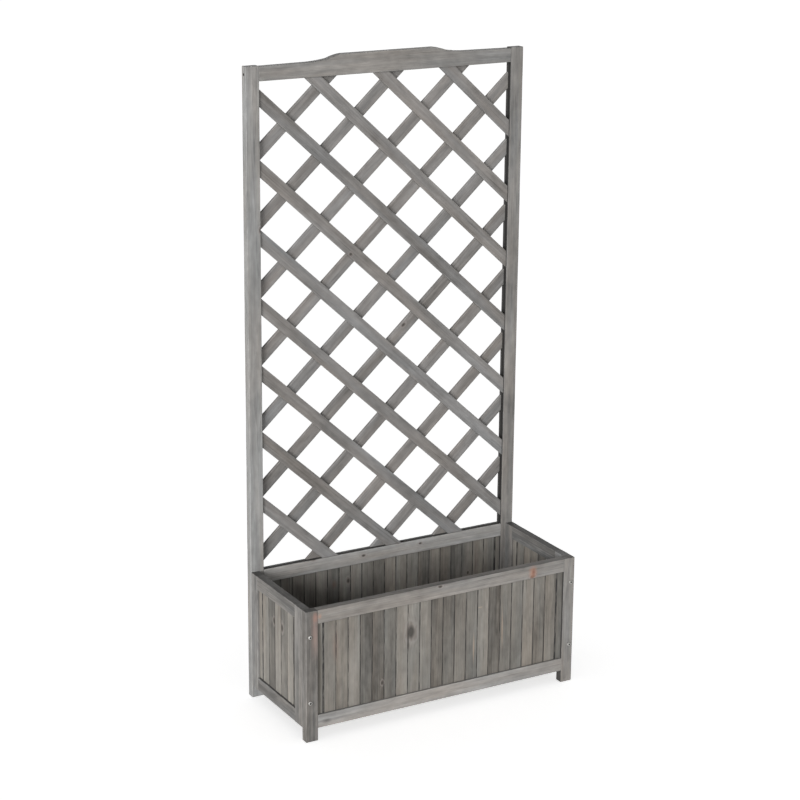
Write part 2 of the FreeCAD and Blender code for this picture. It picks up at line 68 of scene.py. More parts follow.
# %% Place the camera
FRAME_PIXELS = 800
FOCAL_PIXELS = 2200
SENSOR = 36.0
camera = bpy.data.objects.new("camera", bpy.data.cameras.new("camera"))
camera.data.sensor_width = SENSOR
camera.data.lens = SENSOR * FOCAL_PIXELS / FRAME_PIXELS
camera.data.shift_y = -0.05
turned, tipped, rolled = 29.79, 16.05, 0.49       # degrees: to the right, down, and a trace of roll
camera.matrix_world = (
    Matrix.Translation(Vector((-2424.8, -4167.9, 2197.5)) * MM)
    @ Matrix.Rotation(math.radians(-turned), 4, "Z")
    @ Matrix.Rotation(math.radians(90 - tipped), 4, "X")
    @ Matrix.Rotation(math.radians(rolled), 4, "Z")
)
bpy.context.scene.collection.objects.link(camera)
bpy.context.scene.camera = camera
print(f"camera: {camera.data.lens:.0f} mm lens, {camera.location.length:.2f} m from the planter")

# %% [markdown]
# ## Two small helpers for node trees
# Materials and shape rules are both built from nodes. One function adds a node with its
# settings and its links, and another turns the hex colours that painters use, which are
# coded for screens, into the linear numbers that a renderer adds up.

# %% Colours and nodes


def linear(hex_colour):
    """A screen colour such as #8A877F as linear red, green, blue and alpha."""
    channels = [int(hex_colour[i:i + 2], 16) / 255 for i in (1, 3, 5)]
    return (*(c / 12.92 if c <= 0.04045 else ((c + 0.055) / 1.055) ** 2.4 for c in channels), 1.0)


def add(tree, kind, inputs=None, stops=(), **settings):
    """Adds one node and gives its outputs. Settings are its own properties, inputs are values
    or the sockets to link (a list links several), and stops are the colours of a ramp."""
    node = tree.nodes.new(kind)
    for name, value in settings.items():
        setattr(node, name, value)
    for socket, given in (inputs or {}).items():
        for value in given if isinstance(given, list) else [given]:
            if isinstance(value, bpy.types.NodeSocket):
                tree.links.new(value, node.inputs[socket])
            else:
                node.inputs[socket].default_value = value
    for number, (place, colour) in enumerate(stops):
        elements = node.color_ramp.elements
        element = elements[number] if number < len(elements) else elements.new(place)
        element.position, element.color = place, linear(colour)
    return node.outputs


print("mid grey:", [round(c, 3) for c in linear("#808080")])

# %% [markdown]
# ## Stained softwood
# Fir and pine grow in rings: a wide pale band in spring and a thin dark one in late summer.
# Sawn along the trunk, the rings become long stripes, and they swell round each knot. The
# stain is thin, so it sinks deeper into the soft bands and leaves streaks. A picture could
# be wrapped round each timber, but then its end grain and edges would not agree with its
# faces. A solid pattern does agree: it asks where a point lies in its own timber, how far
# that is from the heart of a tree, and colours it by the ring that it falls in.
#
# Each timber carries four notes for this, written on its mesh. timber_at is the place in the
# timber, along, across and through it, from its middle. timber_half is half its size, which
# tells how near an edge is. timber_seed says which tree it came from. timber_tone says how
# pale and how warm it came out, and where shade is painted dark into its colour: in a groove
# of the lattice and on the inner sides of the uprights.

# %% Patterns that follow the grain


def timber_notes(tree):
    """A timber's notes. Its place and its seed make one: the place in the tree it came from."""
    at, half, seed, tone = (
        add(tree, "ShaderNodeAttribute", attribute_name=f"timber_{note}")["Vector"]
        for note in ("at", "half", "seed", "tone"))
    place = add(tree, "ShaderNodeVectorMath", {0: at, 1: seed}, operation="ADD")[0]
    return at, half, tone, place


def grain_patches(tree, place, along, across, detail=3.0, roughness=0.5):
    """Soft patches of noise, so many mm long and wide, lying along the grain."""
    scaled = add(tree, "ShaderNodeVectorMath",
                 {0: place, 1: (1 / (along * MM), 1 / (across * MM), 1 / (across * MM))},
                 operation="MULTIPLY")[0]
    return add(tree, "ShaderNodeTexNoise",
               {"Vector": scaled, "Scale": 1.0, "Detail": detail, "Roughness": roughness})


# %% [markdown]
# ## Knots
# A knot is the foot of a branch. Some are scattered by chance, at most one in each stretch of
# timber, and a few are put where the photograph shows them. Both give one number: how far a
# point is from the nearest knot, measured in that knot's own radius.

# %% Distance from the nearest knot
KNOT_STRETCH = (240, 52)           # mm of timber, along and across, that may hold one knot
KNOT_LONG = 0.6                    # a sawn knot is longer along the grain, by one over this
KNOT_RADII = (2.0, 5.0)            # mm, of knots scattered by chance
NO_KNOT = 50.0                     # so many radii away that nothing of a knot shows


def nearest_knot(tree, place, share, placed, squeeze):
    """placed lists each knot's spot and radius in mm; squeeze shortens the grain's direction."""
    cells = add(tree, "ShaderNodeVectorMath",
                {0: place, 1: (1 / (KNOT_STRETCH[0] * MM), 1 / (KNOT_STRETCH[1] * MM), 1.0)},
                operation="MULTIPLY")[0]
    chance = add(tree, "ShaderNodeTexVoronoi", {"Vector": cells, "Scale": 1.0},
                 voronoi_dimensions="2D")
    away = add(tree, "ShaderNodeVectorMath", {0: cells, 1: chance["Position"]},
               operation="SUBTRACT")[0]
    away = add(tree, "ShaderNodeVectorMath",
               {0: away, 1: (KNOT_STRETCH[0] * KNOT_LONG * MM, KNOT_STRETCH[1] * MM, 0)},
               operation="MULTIPLY")[0]
    away = add(tree, "ShaderNodeVectorMath", {0: away}, operation="LENGTH")["Value"]
    draw = add(tree, "ShaderNodeSeparateColor", {"Color": chance["Color"]})
    radius = add(tree, "ShaderNodeMapRange", {"Value": draw[0], "To Min": KNOT_RADII[0] * MM,
                                              "To Max": KNOT_RADII[1] * MM})[0]
    near = add(tree, "ShaderNodeMath", {0: away, 1: radius}, operation="DIVIDE")[0]
    absent = add(tree, "ShaderNodeMath", {0: draw[1], 1: share}, operation="GREATER_THAN")[0]
    near = add(tree, "ShaderNodeMath", {0: absent, 1: NO_KNOT, 2: near},
               operation="MULTIPLY_ADD")[0]
    here = add(tree, "ShaderNodeTexCoord")["Object"]
    here = add(tree, "ShaderNodeVectorMath", {0: here, 1: squeeze}, operation="MULTIPLY")[0]
    for spot, radius_mm in placed:
        away = add(tree, "ShaderNodeVectorMath", {0: here, 1: Vector(spot) * MM * Vector(squeeze)},
                   operation="DISTANCE")["Value"]
        away = add(tree, "ShaderNodeMath", {0: away, 1: radius_mm * MM}, operation="DIVIDE")[0]
        near = add(tree, "ShaderNodeMath", {0: near, 1: away}, operation="MINIMUM")[0]
    return near


# %% [markdown]
# ## Growth rings
# Latewood is a thin dark line at the end of each ring. The rings of a real trunk are never
# true circles, so they are bent slowly, and each knot pushes them aside.

# %% Draw the growth rings
RING_BEND = 16 * MM                # how far the rings wander off a circle
KNOT_SWELL = 7 * MM                # how far a knot pushes them aside
KNOT_REACH = 3.6                   # in radii of the knot


def growth_rings(tree, place, near, ring_mm):
    """0 in the pale earlywood, rising to 1 in the dark line at the end of each ring."""
    bend = grain_patches(tree, place, 420, 70, detail=2.0)["Color"]
    bent = add(tree, "ShaderNodeVectorMath", {0: bend, 1: (0, RING_BEND, RING_BEND), 2: place},
               operation="MULTIPLY_ADD")[0]
    bent = add(tree, "ShaderNodeVectorMath", {0: bent, 1: (0, 1, 1)}, operation="MULTIPLY")[0]
    rings = add(tree, "ShaderNodeVectorMath", {0: bent}, operation="LENGTH")["Value"]
    swell = add(tree, "ShaderNodeMapRange", {"Value": near, "From Max": KNOT_REACH,
                                             "To Min": KNOT_SWELL, "To Max": 0.0},
                interpolation_type="SMOOTHERSTEP")[0]
    rings = add(tree, "ShaderNodeMath", {0: rings, 1: swell}, operation="ADD")[0]
    rings = add(tree, "ShaderNodeMath", {0: rings, 1: ring_mm * MM}, operation="DIVIDE")[0]
    rings = add(tree, "ShaderNodeMath", {0: rings}, operation="FRACT")[0]
    return add(tree, "ShaderNodeMath", {0: rings, 1: 4.0}, operation="POWER")[0]


# %% [markdown]
# ## How pale the stain came out
# The shade of a point adds up from broad blotches where the stain soaked in, smaller mottles,
# streaks where it lies thick or thin, fine fibres, its growth ring, a few dark hair lines, and
# the timber's own tone. Each pattern has its real length and width in millimetres.

# %% Add up the shade
MEAN_SHADE = 0.375                 # of a middling timber, before its dark lines
HAIR_LINES = (0.63, 0.75)          # only the peaks of their noise become dark lines


def stain_shade(tree, place, pale, late, tone, streak, mottled):
    """How pale a point is, and two of its patterns that later steps use again."""
    blotches = grain_patches(tree, place, 150, 30)["Fac"]
    mottle = grain_patches(tree, place, 26, 11)["Fac"]
    streaks = grain_patches(tree, place, 320, 7, detail=4.0, roughness=0.6)["Fac"]
    fibres = grain_patches(tree, place, 70, 1.4, detail=2.0)["Fac"]
    hairs = grain_patches(tree, place, 110, 2.2, detail=2.0)["Fac"]
    hairs = add(tree, "ShaderNodeMapRange", {"Value": hairs, "From Min": HAIR_LINES[0],
                                             "From Max": HAIR_LINES[1]})[0]
    patterns = ((blotches, 0.65), (mottle, mottled), (streaks, streak), (fibres, 0.6 * streak))
    dark_lines = ((late, -0.12), (hairs, -0.3))
    # noise is 0.5 on average, so stronger patterns are balanced by a lower start
    start = MEAN_SHADE - sum(weight for field, weight in patterns) / 2
    shade = add(tree, "ShaderNodeMath", {0: pale, 1: tone, 2: start}, operation="MULTIPLY_ADD")[0]
    for field, weight in patterns + dark_lines:
        shade = add(tree, "ShaderNodeMath", {0: field, 1: weight, 2: shade},
                    operation="MULTIPLY_ADD")[0]
    return shade, mottle, fibres


# %% [markdown]
# ## Coats over the stain
# What else changes the colour lies over the stain in coats. Each coat is a share from 0 to 1
# and a colour. A knot has a wide brown halo, a pale ring where the wood bends round it, and a
# dark heart. A single mark is a soft oval, torn along the fibres, and so is the one painted
# shadow on a board.

# %% Shares of knots and marks
HALO_SPAN, HALO_SHARE = (0.8, 2.6), 0.5           # spans are in radii of the knot
HEART_SPAN, HEART_SHARE = (0.6, 1.15), 0.85
PALE_RING, RING_HALF_WIDTH, RING_SHARE = 1.65, 0.5, 0.22
RING_WANDER = 2.0


def knot_shares(tree, near, mottle):
    """Halo, heart and pale ring. The mottle makes the ring wander in and out."""
    halo, heart = (
        add(tree, "ShaderNodeMapRange", {"Value": near, "From Min": span[0], "From Max": span[1],
                                         "To Min": share, "To Max": 0.0})[0]
        for span, share in ((HALO_SPAN, HALO_SHARE), (HEART_SPAN, HEART_SHARE)))
    ring = add(tree, "ShaderNodeMath", {0: mottle, 1: RING_WANDER, 2: near},
               operation="MULTIPLY_ADD")[0]
    ring = add(tree, "ShaderNodeMath", {0: ring, 1: PALE_RING + RING_WANDER / 2},
               operation="SUBTRACT")[0]
    ring = add(tree, "ShaderNodeMath", {0: ring}, operation="ABSOLUTE")[0]
    ring = add(tree, "ShaderNodeMapRange", {"Value": ring, "From Max": RING_HALF_WIDTH,
                                            "To Min": RING_SHARE, "To Max": 0.0})[0]
    return halo, heart, ring


OVAL_TEAR = 1.2                    # how far the fibres pull its rim out, as a share of its reach
OVAL_RIM, OVAL_SHARE = (0.8, 1.6), 0.75           # with that pull, it fades from one to the other


def oval_share(tree, here, fibres, spot, reach):
    """spot and reach are in mm, along the object's own axes."""
    away = add(tree, "ShaderNodeVectorMath", {0: here, 1: Vector(spot) * MM},
               operation="SUBTRACT")[0]
    away = add(tree, "ShaderNodeVectorMath", {0: away, 1: Vector(reach) * MM},
               operation="DIVIDE")[0]
    away = add(tree, "ShaderNodeVectorMath", {0: away}, operation="LENGTH")["Value"]
    torn = add(tree, "ShaderNodeMath", {0: fibres, 1: OVAL_TEAR, 2: away},
               operation="MULTIPLY_ADD")[0]
    return add(tree, "ShaderNodeMapRange", {"Value": torn, "From Min": OVAL_RIM[0],
                                            "From Max": OVAL_RIM[1], "To Min": OVAL_SHARE,
                                            "To Max": 0.0})[0]


# %% [markdown]
# Edges are rubbed pale on the frame, a line that is partly wear and partly a painted
# highlight, and drink stain on the boards. Inside a timber there are three distances to its
# faces, and only near an edge is the middle one of the three small. End grain drinks more
# stain and dries dark. The same dark colour is painted as shade in the lattice's groove and
# on the inner sides of the uprights, and as a weaker painted shade on what faces up.

# %% Shares of edges, end grain and painted shade
EDGE_CORE = 0.3 * MM               # an edge has its full colour up to here
END_GRAIN = (0.1 * MM, 0.5 * MM)   # fades out between these distances from the end
PAINTED_TOP_SHADE = 0.48                     # how dark the painted shade on what faces up is
END_SHARE = 0.6                    # how dark the stain dries on end grain


# On the frame and slats the pale edge is wear and partly a painted highlight; on the boards it is
# stain dark in the joints.
def edge_share(tree, inside, mottle, edge_mm, edge):
    """inside holds the three distances to the faces; the mottle makes the edge patchy."""
    x, y, z = inside
    least = add(tree, "ShaderNodeMath", {0: x, 1: y}, operation="MINIMUM")[0]
    most = add(tree, "ShaderNodeMath", {0: x, 1: y}, operation="MAXIMUM")[0]
    middle = add(tree, "ShaderNodeMath", {0: most, 1: z}, operation="MINIMUM")[0]
    middle = add(tree, "ShaderNodeMath", {0: least, 1: middle}, operation="MAXIMUM")[0]
    at_edge = add(tree, "ShaderNodeMapRange", {"Value": middle, "From Min": EDGE_CORE,
                                               "From Max": edge_mm * MM, "To Min": 1.0,
                                               "To Max": 0.0})[0]
    patchy = add(tree, "ShaderNodeMapRange", {"Value": mottle, "From Min": 0.38, "From Max": 0.62,
                                              "To Min": 0.2 * edge, "To Max": edge})[0]
    return add(tree, "ShaderNodeMath", {0: at_edge, 1: patchy}, operation="MULTIPLY")[0]


def end_grain_and_shade_share(tree, from_end, painted_inner_shade):
    """The darkest of end grain and of the painted shade in grooves, on inner sides and on tops."""
    end = add(tree, "ShaderNodeMapRange", {"Value": from_end, "From Min": END_GRAIN[0],
                                           "From Max": END_GRAIN[1], "To Min": END_SHARE,
                                           "To Max": 0.0})[0]
    normal = add(tree, "ShaderNodeNewGeometry")["Normal"]
    facing = add(tree, "ShaderNodeSeparateXYZ", {0: normal})[2]
    # a painted shade on what faces up, by the direction of the face
    top_shade = add(tree, "ShaderNodeMapRange", {"Value": facing, "From Min": 0.8, "From Max": 1.0,
                                               "To Max": PAINTED_TOP_SHADE})[0]
    end_grain_and_inner_shade = add(tree, "ShaderNodeMath", {0: end, 1: painted_inner_shade}, operation="MAXIMUM")[0]
    return add(tree, "ShaderNodeMath", {0: end_grain_and_inner_shade, 1: top_shade}, operation="MAXIMUM")[0]


# %% [markdown]
# ## The finish itself
# The shade is looked up in a row of greys, a slow drift between a cool and a pinkish cast
# tints it, and the coats are laid over it one by one. The stain is matt. Latewood stands a
# hair proud of earlywood, because it shrinks and wears less, and that is all the relief there
# is.

# %% Make a stained wood
RELIEF = 0.25 * MM


def bare_material(name):
    """A material without any nodes yet, and its tree."""
    material = bpy.data.materials.new(name)
    material.use_nodes = True
    material.node_tree.nodes.clear()
    return material, material.node_tree


def stained_softwood(name, greys, ring_mm=3.4, tone=0.16, streak=0.5, mottled=0.4, knots=0.2,
                     placed=(), squeeze=(KNOT_LONG, 1, 1), marks_and_shadows=(), edge_mm=1.6, edge=0.25):
    """Planed softwood under a thin, matt, semi-opaque grey stain."""
    material, tree = bare_material(name)
    at, half, tones, place = timber_notes(tree)
    # the third note is the painted shade in the groove and on the uprights' inner sides
    pale, warm, painted_inner_shade = add(tree, "ShaderNodeSeparateXYZ", {0: tones})
    near = nearest_knot(tree, place, knots, placed, squeeze)
    late = growth_rings(tree, place, near, ring_mm)
    shade, mottle, fibres = stain_shade(tree, place, pale, late, tone, streak, mottled)
    colour = add(tree, "ShaderNodeValToRGB", {"Fac": shade},
                 stops=((0.0, greys["deep"]), (0.5, greys["mid"]), (1.0, greys["pale"])))["Color"]

    # a slow drift between a cool and a pinkish cast
    drift = grain_patches(tree, place, 260, 26, detail=2.0)["Fac"]
    drift = add(tree, "ShaderNodeMath", {0: warm, 1: 0.15, 2: drift}, operation="MULTIPLY_ADD")[0]
    cast = add(tree, "ShaderNodeValToRGB", {"Fac": drift},
               stops=((0.25, greys["cool"]), (0.75, greys["warm"])))["Color"]
    colour = add(tree, "ShaderNodeMix", {0: 1.0, 6: colour, 7: cast}, data_type="RGBA",
                 blend_type="MULTIPLY")[2]

    # the coats, from the lowest to the highest
    halo, heart, ring = knot_shares(tree, near, mottle)
    here = add(tree, "ShaderNodeTexCoord")["Object"]
    inside = add(tree, "ShaderNodeVectorMath", {0: at}, operation="ABSOLUTE")[0]
    inside = add(tree, "ShaderNodeVectorMath", {0: half, 1: inside}, operation="SUBTRACT")[0]
    inside = add(tree, "ShaderNodeSeparateXYZ", {0: inside})
    coats = [(halo, greys["halo"]), (ring, greys["pale"]), (heart, greys["knot"])]
    coats += [(oval_share(tree, here, fibres, spot, reach), hex_colour)
              for spot, reach, hex_colour in marks_and_shadows]
    # rubbed edges, partly a painted highlight, then end grain and the painted shade in grooves, on
    # inner sides and on tops
    coats += [(edge_share(tree, inside, mottle, edge_mm, edge), greys["edge"]),
              (end_grain_and_shade_share(tree, inside[0], painted_inner_shade), greys["end"])]
    for share, hex_colour in coats:
        colour = add(tree, "ShaderNodeMix", {0: share, 6: colour, 7: linear(hex_colour)},
                     data_type="RGBA")[2]

    # relief and sheen
    relief = add(tree, "ShaderNodeMath", {0: late, 1: 0.5, 2: fibres}, operation="MULTIPLY_ADD")[0]
    relief = add(tree, "ShaderNodeMath", {0: heart, 1: -0.8, 2: relief},
                 operation="MULTIPLY_ADD")[0]
    bump = add(tree, "ShaderNodeBump", {"Strength": 0.6, "Distance": RELIEF, "Height": relief})[0]
    rough = add(tree, "ShaderNodeMapRange", {"Value": shade, "To Min": 0.9, "To Max": 0.7})[0]
    surface = add(tree, "ShaderNodeBsdfPrincipled", {"Base Color": colour, "Roughness": rough,
                                                     "IOR": 1.45, "Normal": bump})[0]
    add(tree, "ShaderNodeOutputMaterial", {"Surface": surface})
    return material


# %% [markdown]
# ## The woods of this planter
# All the timber had the same stain, but thick frame timbers, thin slats and boards took it
# differently. The frame is an even grey with pinkish patches and lightly rubbed edges, whose
# pale line is partly a painted highlight. The boards vary most, and stain gathered dark and
# ragged where two of them meet. The floor inside is the same wood, seen only in shade. Knots
# and marks that catch the eye in the photograph are put where they are there, in millimetres.
# One long dark patch on the narrow front board by the left leg is a painted shadow of the leg
# over a darker tone.

# %% Mix the woods
FRAME_GREYS = {"deep": "#4A4A4A", "mid": "#787776", "pale": "#9B9A99", "cool": "#FAFCFC",
               # edge: rubbed pale, partly a painted highlight
               "warm": "#FFF7EE", "halo": "#5C504A", "knot": "#2C2A26", "edge": "#979694",
               # end: end grain, and the painted shade in the groove, on the uprights' inner sides
               # and on tops
               "end": "#161514"}
SLAT_GREYS = {**FRAME_GREYS, "deep": "#494847", "mid": "#717070", "pale": "#8F8E8D"}
BOARD_GREYS = {**FRAME_GREYS, "deep": "#41403E", "mid": "#6E6D6A", "pale": "#94928F",
               "cool": "#FAF9F6", "warm": "#FFF4E9", "edge": "#201F1E"}
FRAME_KNOTS = [                    # spot and radius in mm
    ((239, -148, 288), 3.5), ((-12, -148, 311), 3), ((-61, 128, 302), 3), ((95, 128, 305), 2.5)]
FRAME_MARKS = [                    # spot and reach in mm, and colour
    ((-334, -148, 298), (8, 8, 16), "#896558"), ((-335, -148, 256), (11, 8, 62), "#7D6B64"),
    ((-323, -148, 299), (7, 8, 8), "#8F7262"), ((-306, -148, 44), (16, 8, 7), "#4A4745"),
    ((240, -148, 298), (14, 8, 20), "#8F6753"), ((242, -148, 299), (6, 8, 11), "#634236"),
]
BOARD_KNOTS = [
    ((-85, -142, 212), 10), ((-160, -142, 102), 3), ((-351, 22, 232), 4.5), ((-351, -18, 230), 5),
    ((-99, 134, 243), 3.4)]
SLAT_KNOTS = [((-95, 132, 1041), 3.5)]
BOARD_MARKS_AND_SHADOW = [
    ((-91, -142, 182), (3, 9, 26), "#3A3733"), ((100, -142, 236), (9, 9, 2), "#91816F"),
    ((84, -142, 135), (3, 9, 42), "#8A7B6D"), ((162, -142, 175), (2.5, 9, 60), "#8A7B6D"),
    ((-280, -142, 215), (9, 9, 50), "#6B5C54"), ((-136, 134, 240), (9, 9, 15), "#5B4D45"),
    # a painted shadow of the front left leg on the narrow board beside it, over a darker tone
    ((-322, -142, 160), (14, 12, 240), "#4E4A43"),
]
woods = {
    "stained_frame": stained_softwood("planed_grey_stained_fir", FRAME_GREYS, knots=0.12,
                                      placed=FRAME_KNOTS, marks_and_shadows=FRAME_MARKS),
    "stained_slats": stained_softwood("thin_grey_stained_fir_slats", SLAT_GREYS, knots=0.12,
                                      placed=SLAT_KNOTS, squeeze=(1, 1, 1), tone=0.09,
                                      streak=0.4, edge_mm=1.2, edge=0.3),
    "stained_boards": stained_softwood("grey_stained_fir_boards", BOARD_GREYS, ring_mm=4.2,
                                       tone=0.2, streak=0.25, knots=0.1, placed=BOARD_KNOTS,
                                       squeeze=(1, 1, KNOT_LONG), marks_and_shadows=BOARD_MARKS_AND_SHADOW,
                                       edge_mm=1.8, edge=1.5),
    "floor_timber": stained_softwood("sawn_grey_stained_fir", BOARD_GREYS),
}
print("woods:", [wood.name for wood in woods.values()])

# %% [markdown]
# ## Handing a piece over
# Every finished piece rides on the one body of this object and replaces the plain timbers
# that it stands for. Its finish is the one that the record names for theirs.

# %% Hand over a piece
slot_of = {part["node"]: part["material_slot"] for part in frame["record"]["subparts"]}


def hand_over(piece, *nodes):
    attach(piece, "root")
    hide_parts(*nodes)
    triangles = sum(len(face.vertices) - 2 for face in piece.data.polygons)
    print(f"{piece.name}: {triangles} triangles, for {len(nodes)} node(s)")


# %% [markdown]
# ## Frame timbers
# A planed timber is a box whose long edges have been rubbed round by hand, so the rounding
# is a little wider here and a little narrower there. The blank is made as rings of points
# along the timber, each ring a rectangle with rounded corners. The grooves and holes are
# already right in the frame's own timber, so the blank is made a hair too large and then cut
# down to what the two have in common: the frame's flats, grooves and holes with the blank's
# round edges.

# %% Rings of a blank
HAIR = 0.02 * MM
EASE = 1.5 * MM                  # rounding of the long edges
END_EASE = 0.5 * MM              # rounding at the ends
RING_STEP = 45 * MM
CORNER_STEPS = 3


def rounded_ring(half_across, half_through, radius):
    """Points of a rectangle with rounded corners, anticlockwise."""
    points = []
    for corner in range(4):
        side_a = 1 if corner in (0, 3) else -1
        side_b = 1 if corner in (0, 1) else -1
        for step in range(CORNER_STEPS + 1):
            angle = math.radians(90 * corner + 90 * step / CORNER_STEPS)
            points.append((side_a * (half_across - radius) + radius * math.cos(angle),
                           side_b * (half_through - radius) + radius * math.sin(angle)))
    return points


def blank(half, draw):
    """An eased box about the origin, lying along X."""
    shape = bmesh.new()
    length = 2 * half[0]
    inner = max(2, round(length / RING_STEP))
    stations = [(-half[0], END_EASE), (-half[0] + END_EASE, 0.0)]
    stations += [(-half[0] + length * i / inner, 0.0) for i in range(1, inner)]
    stations += [(half[0] - END_EASE, 0.0), (half[0], END_EASE)]
    rings = []
    for along, inset in stations:
        radius = EASE * draw.uniform(0.7, 1.25)
        ring = rounded_ring(half[1] - inset, half[2] - inset, radius - inset)
        rings.append([shape.verts.new((along, a, b)) for a, b in ring])
    for one, two in zip(rings, rings[1:]):
        for i in range(len(one)):
            j = (i + 1) % len(one)
            shape.faces.new((one[i], one[j], two[j], two[i]))
    shape.faces.new(rings[0])
    shape.faces.new(rings[-1])
    bmesh.ops.recalc_face_normals(shape, faces=shape.faces)
    return shape


# %% Cut a blank down to the frame's timber


def merged_copy(node):
    """A closed copy of a node's mesh, which the frame keeps as loose triangles."""
    shape = bmesh.new()
    shape.from_mesh(frame["nodes"][node].data)
    bmesh.ops.remove_doubles(shape, verts=shape.verts, dist=1e-6)
    return shape


def as_object(name, shape):
    mesh = bpy.data.meshes.new(name)
    shape.to_mesh(mesh)
    shape.free()
    made = bpy.data.objects.new(name, mesh)
    bpy.context.scene.collection.objects.link(made)
    return made


def common_part(piece, node):
    """What a blank and the frame's timber have in common."""
    timber = as_object(f"{node}_cutter", merged_copy(node))
    cut = piece.modifiers.new("cut", "BOOLEAN")
    cut.operation = "INTERSECT"
    cut.solver = "EXACT"
    cut.object = timber
    evaluated = piece.evaluated_get(bpy.context.evaluated_depsgraph_get())
    mesh = bpy.data.meshes.new_from_object(evaluated)
    piece.modifiers.remove(cut)
    piece.data = mesh
    bpy.data.objects.remove(timber)


# %% Write the notes on a timber
draw = random.Random(11)
HEART_AWAY = (18, 70)            # mm from a timber's middle to the heart of its tree


def tree_seed(draw):
    """A place in a tree: anywhere along it, and some way off its heart."""
    away, angle = draw.uniform(*HEART_AWAY) * MM, draw.uniform(0, math.tau)
    return Vector((draw.uniform(-4, 4), away * math.cos(angle), away * math.sin(angle)))


GROOVE = 6.2 * MM                # the lattice's groove is 6 mm deep
GROOVE_FRONT = 131 * MM          # what lies behind this, beside the lattice, is groove or back
INNER_SKIN = 0.3 * MM            # how deep the painted shade on an upright's inner side goes
# how dark the painted shade in the groove and on the uprights' inner sides is
PAINTED_INNER_SHADE = 0.9
groove_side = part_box("rear_right_post")[0].x + GROOVE
groove_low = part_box("middle_rail")[1].z - GROOVE
groove_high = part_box("arched_top_rail")[0].z + GROOVE


def painted_inner_shade(point, inner_side):
    """Painted shade in and behind the lattice's groove and on an upright's inner side; none
    elsewhere.
    """
    in_groove = (abs(point.x) < groove_side and point.y > GROOVE_FRONT
                 and groove_low < point.z < groove_high)
    return PAINTED_INNER_SHADE if in_groove or abs(point.x) < inner_side else 0.0


def write_notes(mesh, middle, half, order, seed, tone, inner_side=0.0):
    """order gives the axes that run along, across and through the timber."""
    notes = {
        "at": [[(vertex.co - middle)[axis] for axis in order] for vertex in mesh.vertices],
        "half": [half] * len(mesh.vertices),
        "seed": [seed] * len(mesh.vertices),
        "tone": [(*tone, painted_inner_shade(vertex.co, inner_side)) for vertex in mesh.vertices],
    }
    for note, values in notes.items():
        attribute = mesh.attributes.new(f"timber_{note}", "FLOAT_VECTOR", "POINT")
        attribute.data.foreach_set("vector", [number for value in values for number in value])


# %% Make all the straight frame timbers
# The middle rail's paleness is painted light; the dark of the right end's top rail and rear stile
# is painted shade.
TONES_AND_PAINTED_LIGHT = {                          # how pale and how warm the photograph shows a timber
    "rear_left_post": (0.9, -0.8), "rear_right_post": (-0.3, 0.1), "middle_rail": (1.6, -0.6),
    "front_left_leg": (-1.5, 1.5), "front_right_leg": (-0.2, 0.6), "front_top_rail": (0.7, 1.2),
    "front_bottom_rail": (1.3, 0.2), "left_end_top_rail": (-1.3, 0.0),
    "left_end_bottom_rail": (-1.4, -0.3), "right_end_top_rail": (-2.0, 0.0),
    "right_end_rear_stile": (-1.8, 0.0),
}
TIMBERS = [
    "rear_left_post", "rear_right_post", "front_left_leg", "front_right_leg",
    "front_top_rail", "front_bottom_rail", "middle_rail", "rear_bottom_rail",
    "front_cleat", "rear_cleat",
    *[f"{end}_end_{part}" for end in ("left", "right")
      for part in ("front_stile", "rear_stile", "top_rail", "bottom_rail")],
]


def axes_by_length(low, high):
    size = high - low
    return sorted(range(3), key=lambda axis: -size[axis])


for node in TIMBERS:
    low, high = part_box(node)
    order = axes_by_length(low, high)
    half = [((high - low) / 2)[axis] for axis in order]
    piece = as_object(f"{node}_eased", blank([side + HAIR for side in half], draw))
    turn = Matrix([[float(order[column] == row) for column in range(3)] for row in range(3)])
    if turn.determinant() < 0:
        turn = turn @ Matrix.Diagonal((1, 1, -1))
    piece.data.transform(Matrix.Translation((low + high) / 2) @ turn.to_4x4())
    common_part(piece, node)
    tone = TONES_AND_PAINTED_LIGHT.get(node, (draw.uniform(-0.6, 0.6), draw.uniform(-1, 1)))
    # uprights get a painted shade on their inner sides
    upright = node.endswith(("post", "leg"))
    inner_side = min(abs(low.x), abs(high.x)) + INNER_SKIN if upright else 0.0
    write_notes(piece.data, (low + high) / 2, half, order, tree_seed(draw), tone, inner_side)
    piece.data.materials.append(woods[slot_of[node]])
    hand_over(piece, node)

# %% [markdown]
# ## The arched top rail
# The rail is sawn from a wider plank: straight at both ends, a hollow shoulder on each side
# and a flat crown. Its outline can be read off the front face of the frame's own rail, so
# the blank is that outline, thickened and eased, and then cut down in the same way.

# %% Make the arched rail
ARCH = "arched_top_rail"
outline_shape = merged_copy(ARCH)
bmesh.ops.dissolve_limit(outline_shape, angle_limit=math.radians(0.5), verts=outline_shape.verts,
                         edges=outline_shape.edges)
front_face = max((face for face in outline_shape.faces if face.normal.y < -0.99),
                 key=lambda face: face.calc_area())
low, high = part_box(ARCH)
middle = (low + high) / 2
plank = bmesh.new()
corners = []
for vertex in front_face.verts:
    away = (vertex.co - middle) * (1 + HAIR / high.x)
    corners.append(plank.verts.new((middle.x + away.x, low.y - HAIR, middle.z + away.z)))
face = plank.faces.new(corners)
grown = bmesh.ops.extrude_face_region(plank, geom=[face])["geom"]
bmesh.ops.translate(plank, vec=(0, high.y - low.y + 2 * HAIR, 0),
                    verts=[part for part in grown if isinstance(part, bmesh.types.BMVert)])
rims = [edge for edge in plank.edges if abs(edge.verts[0].co.y - edge.verts[1].co.y) < HAIR]
bmesh.ops.bevel(plank, geom=rims, offset=EASE, segments=CORNER_STEPS, affect="EDGES", profile=0.5)
bmesh.ops.recalc_face_normals(plank, faces=plank.faces)
outline_shape.free()
arch = as_object("arched_top_rail_eased", plank)
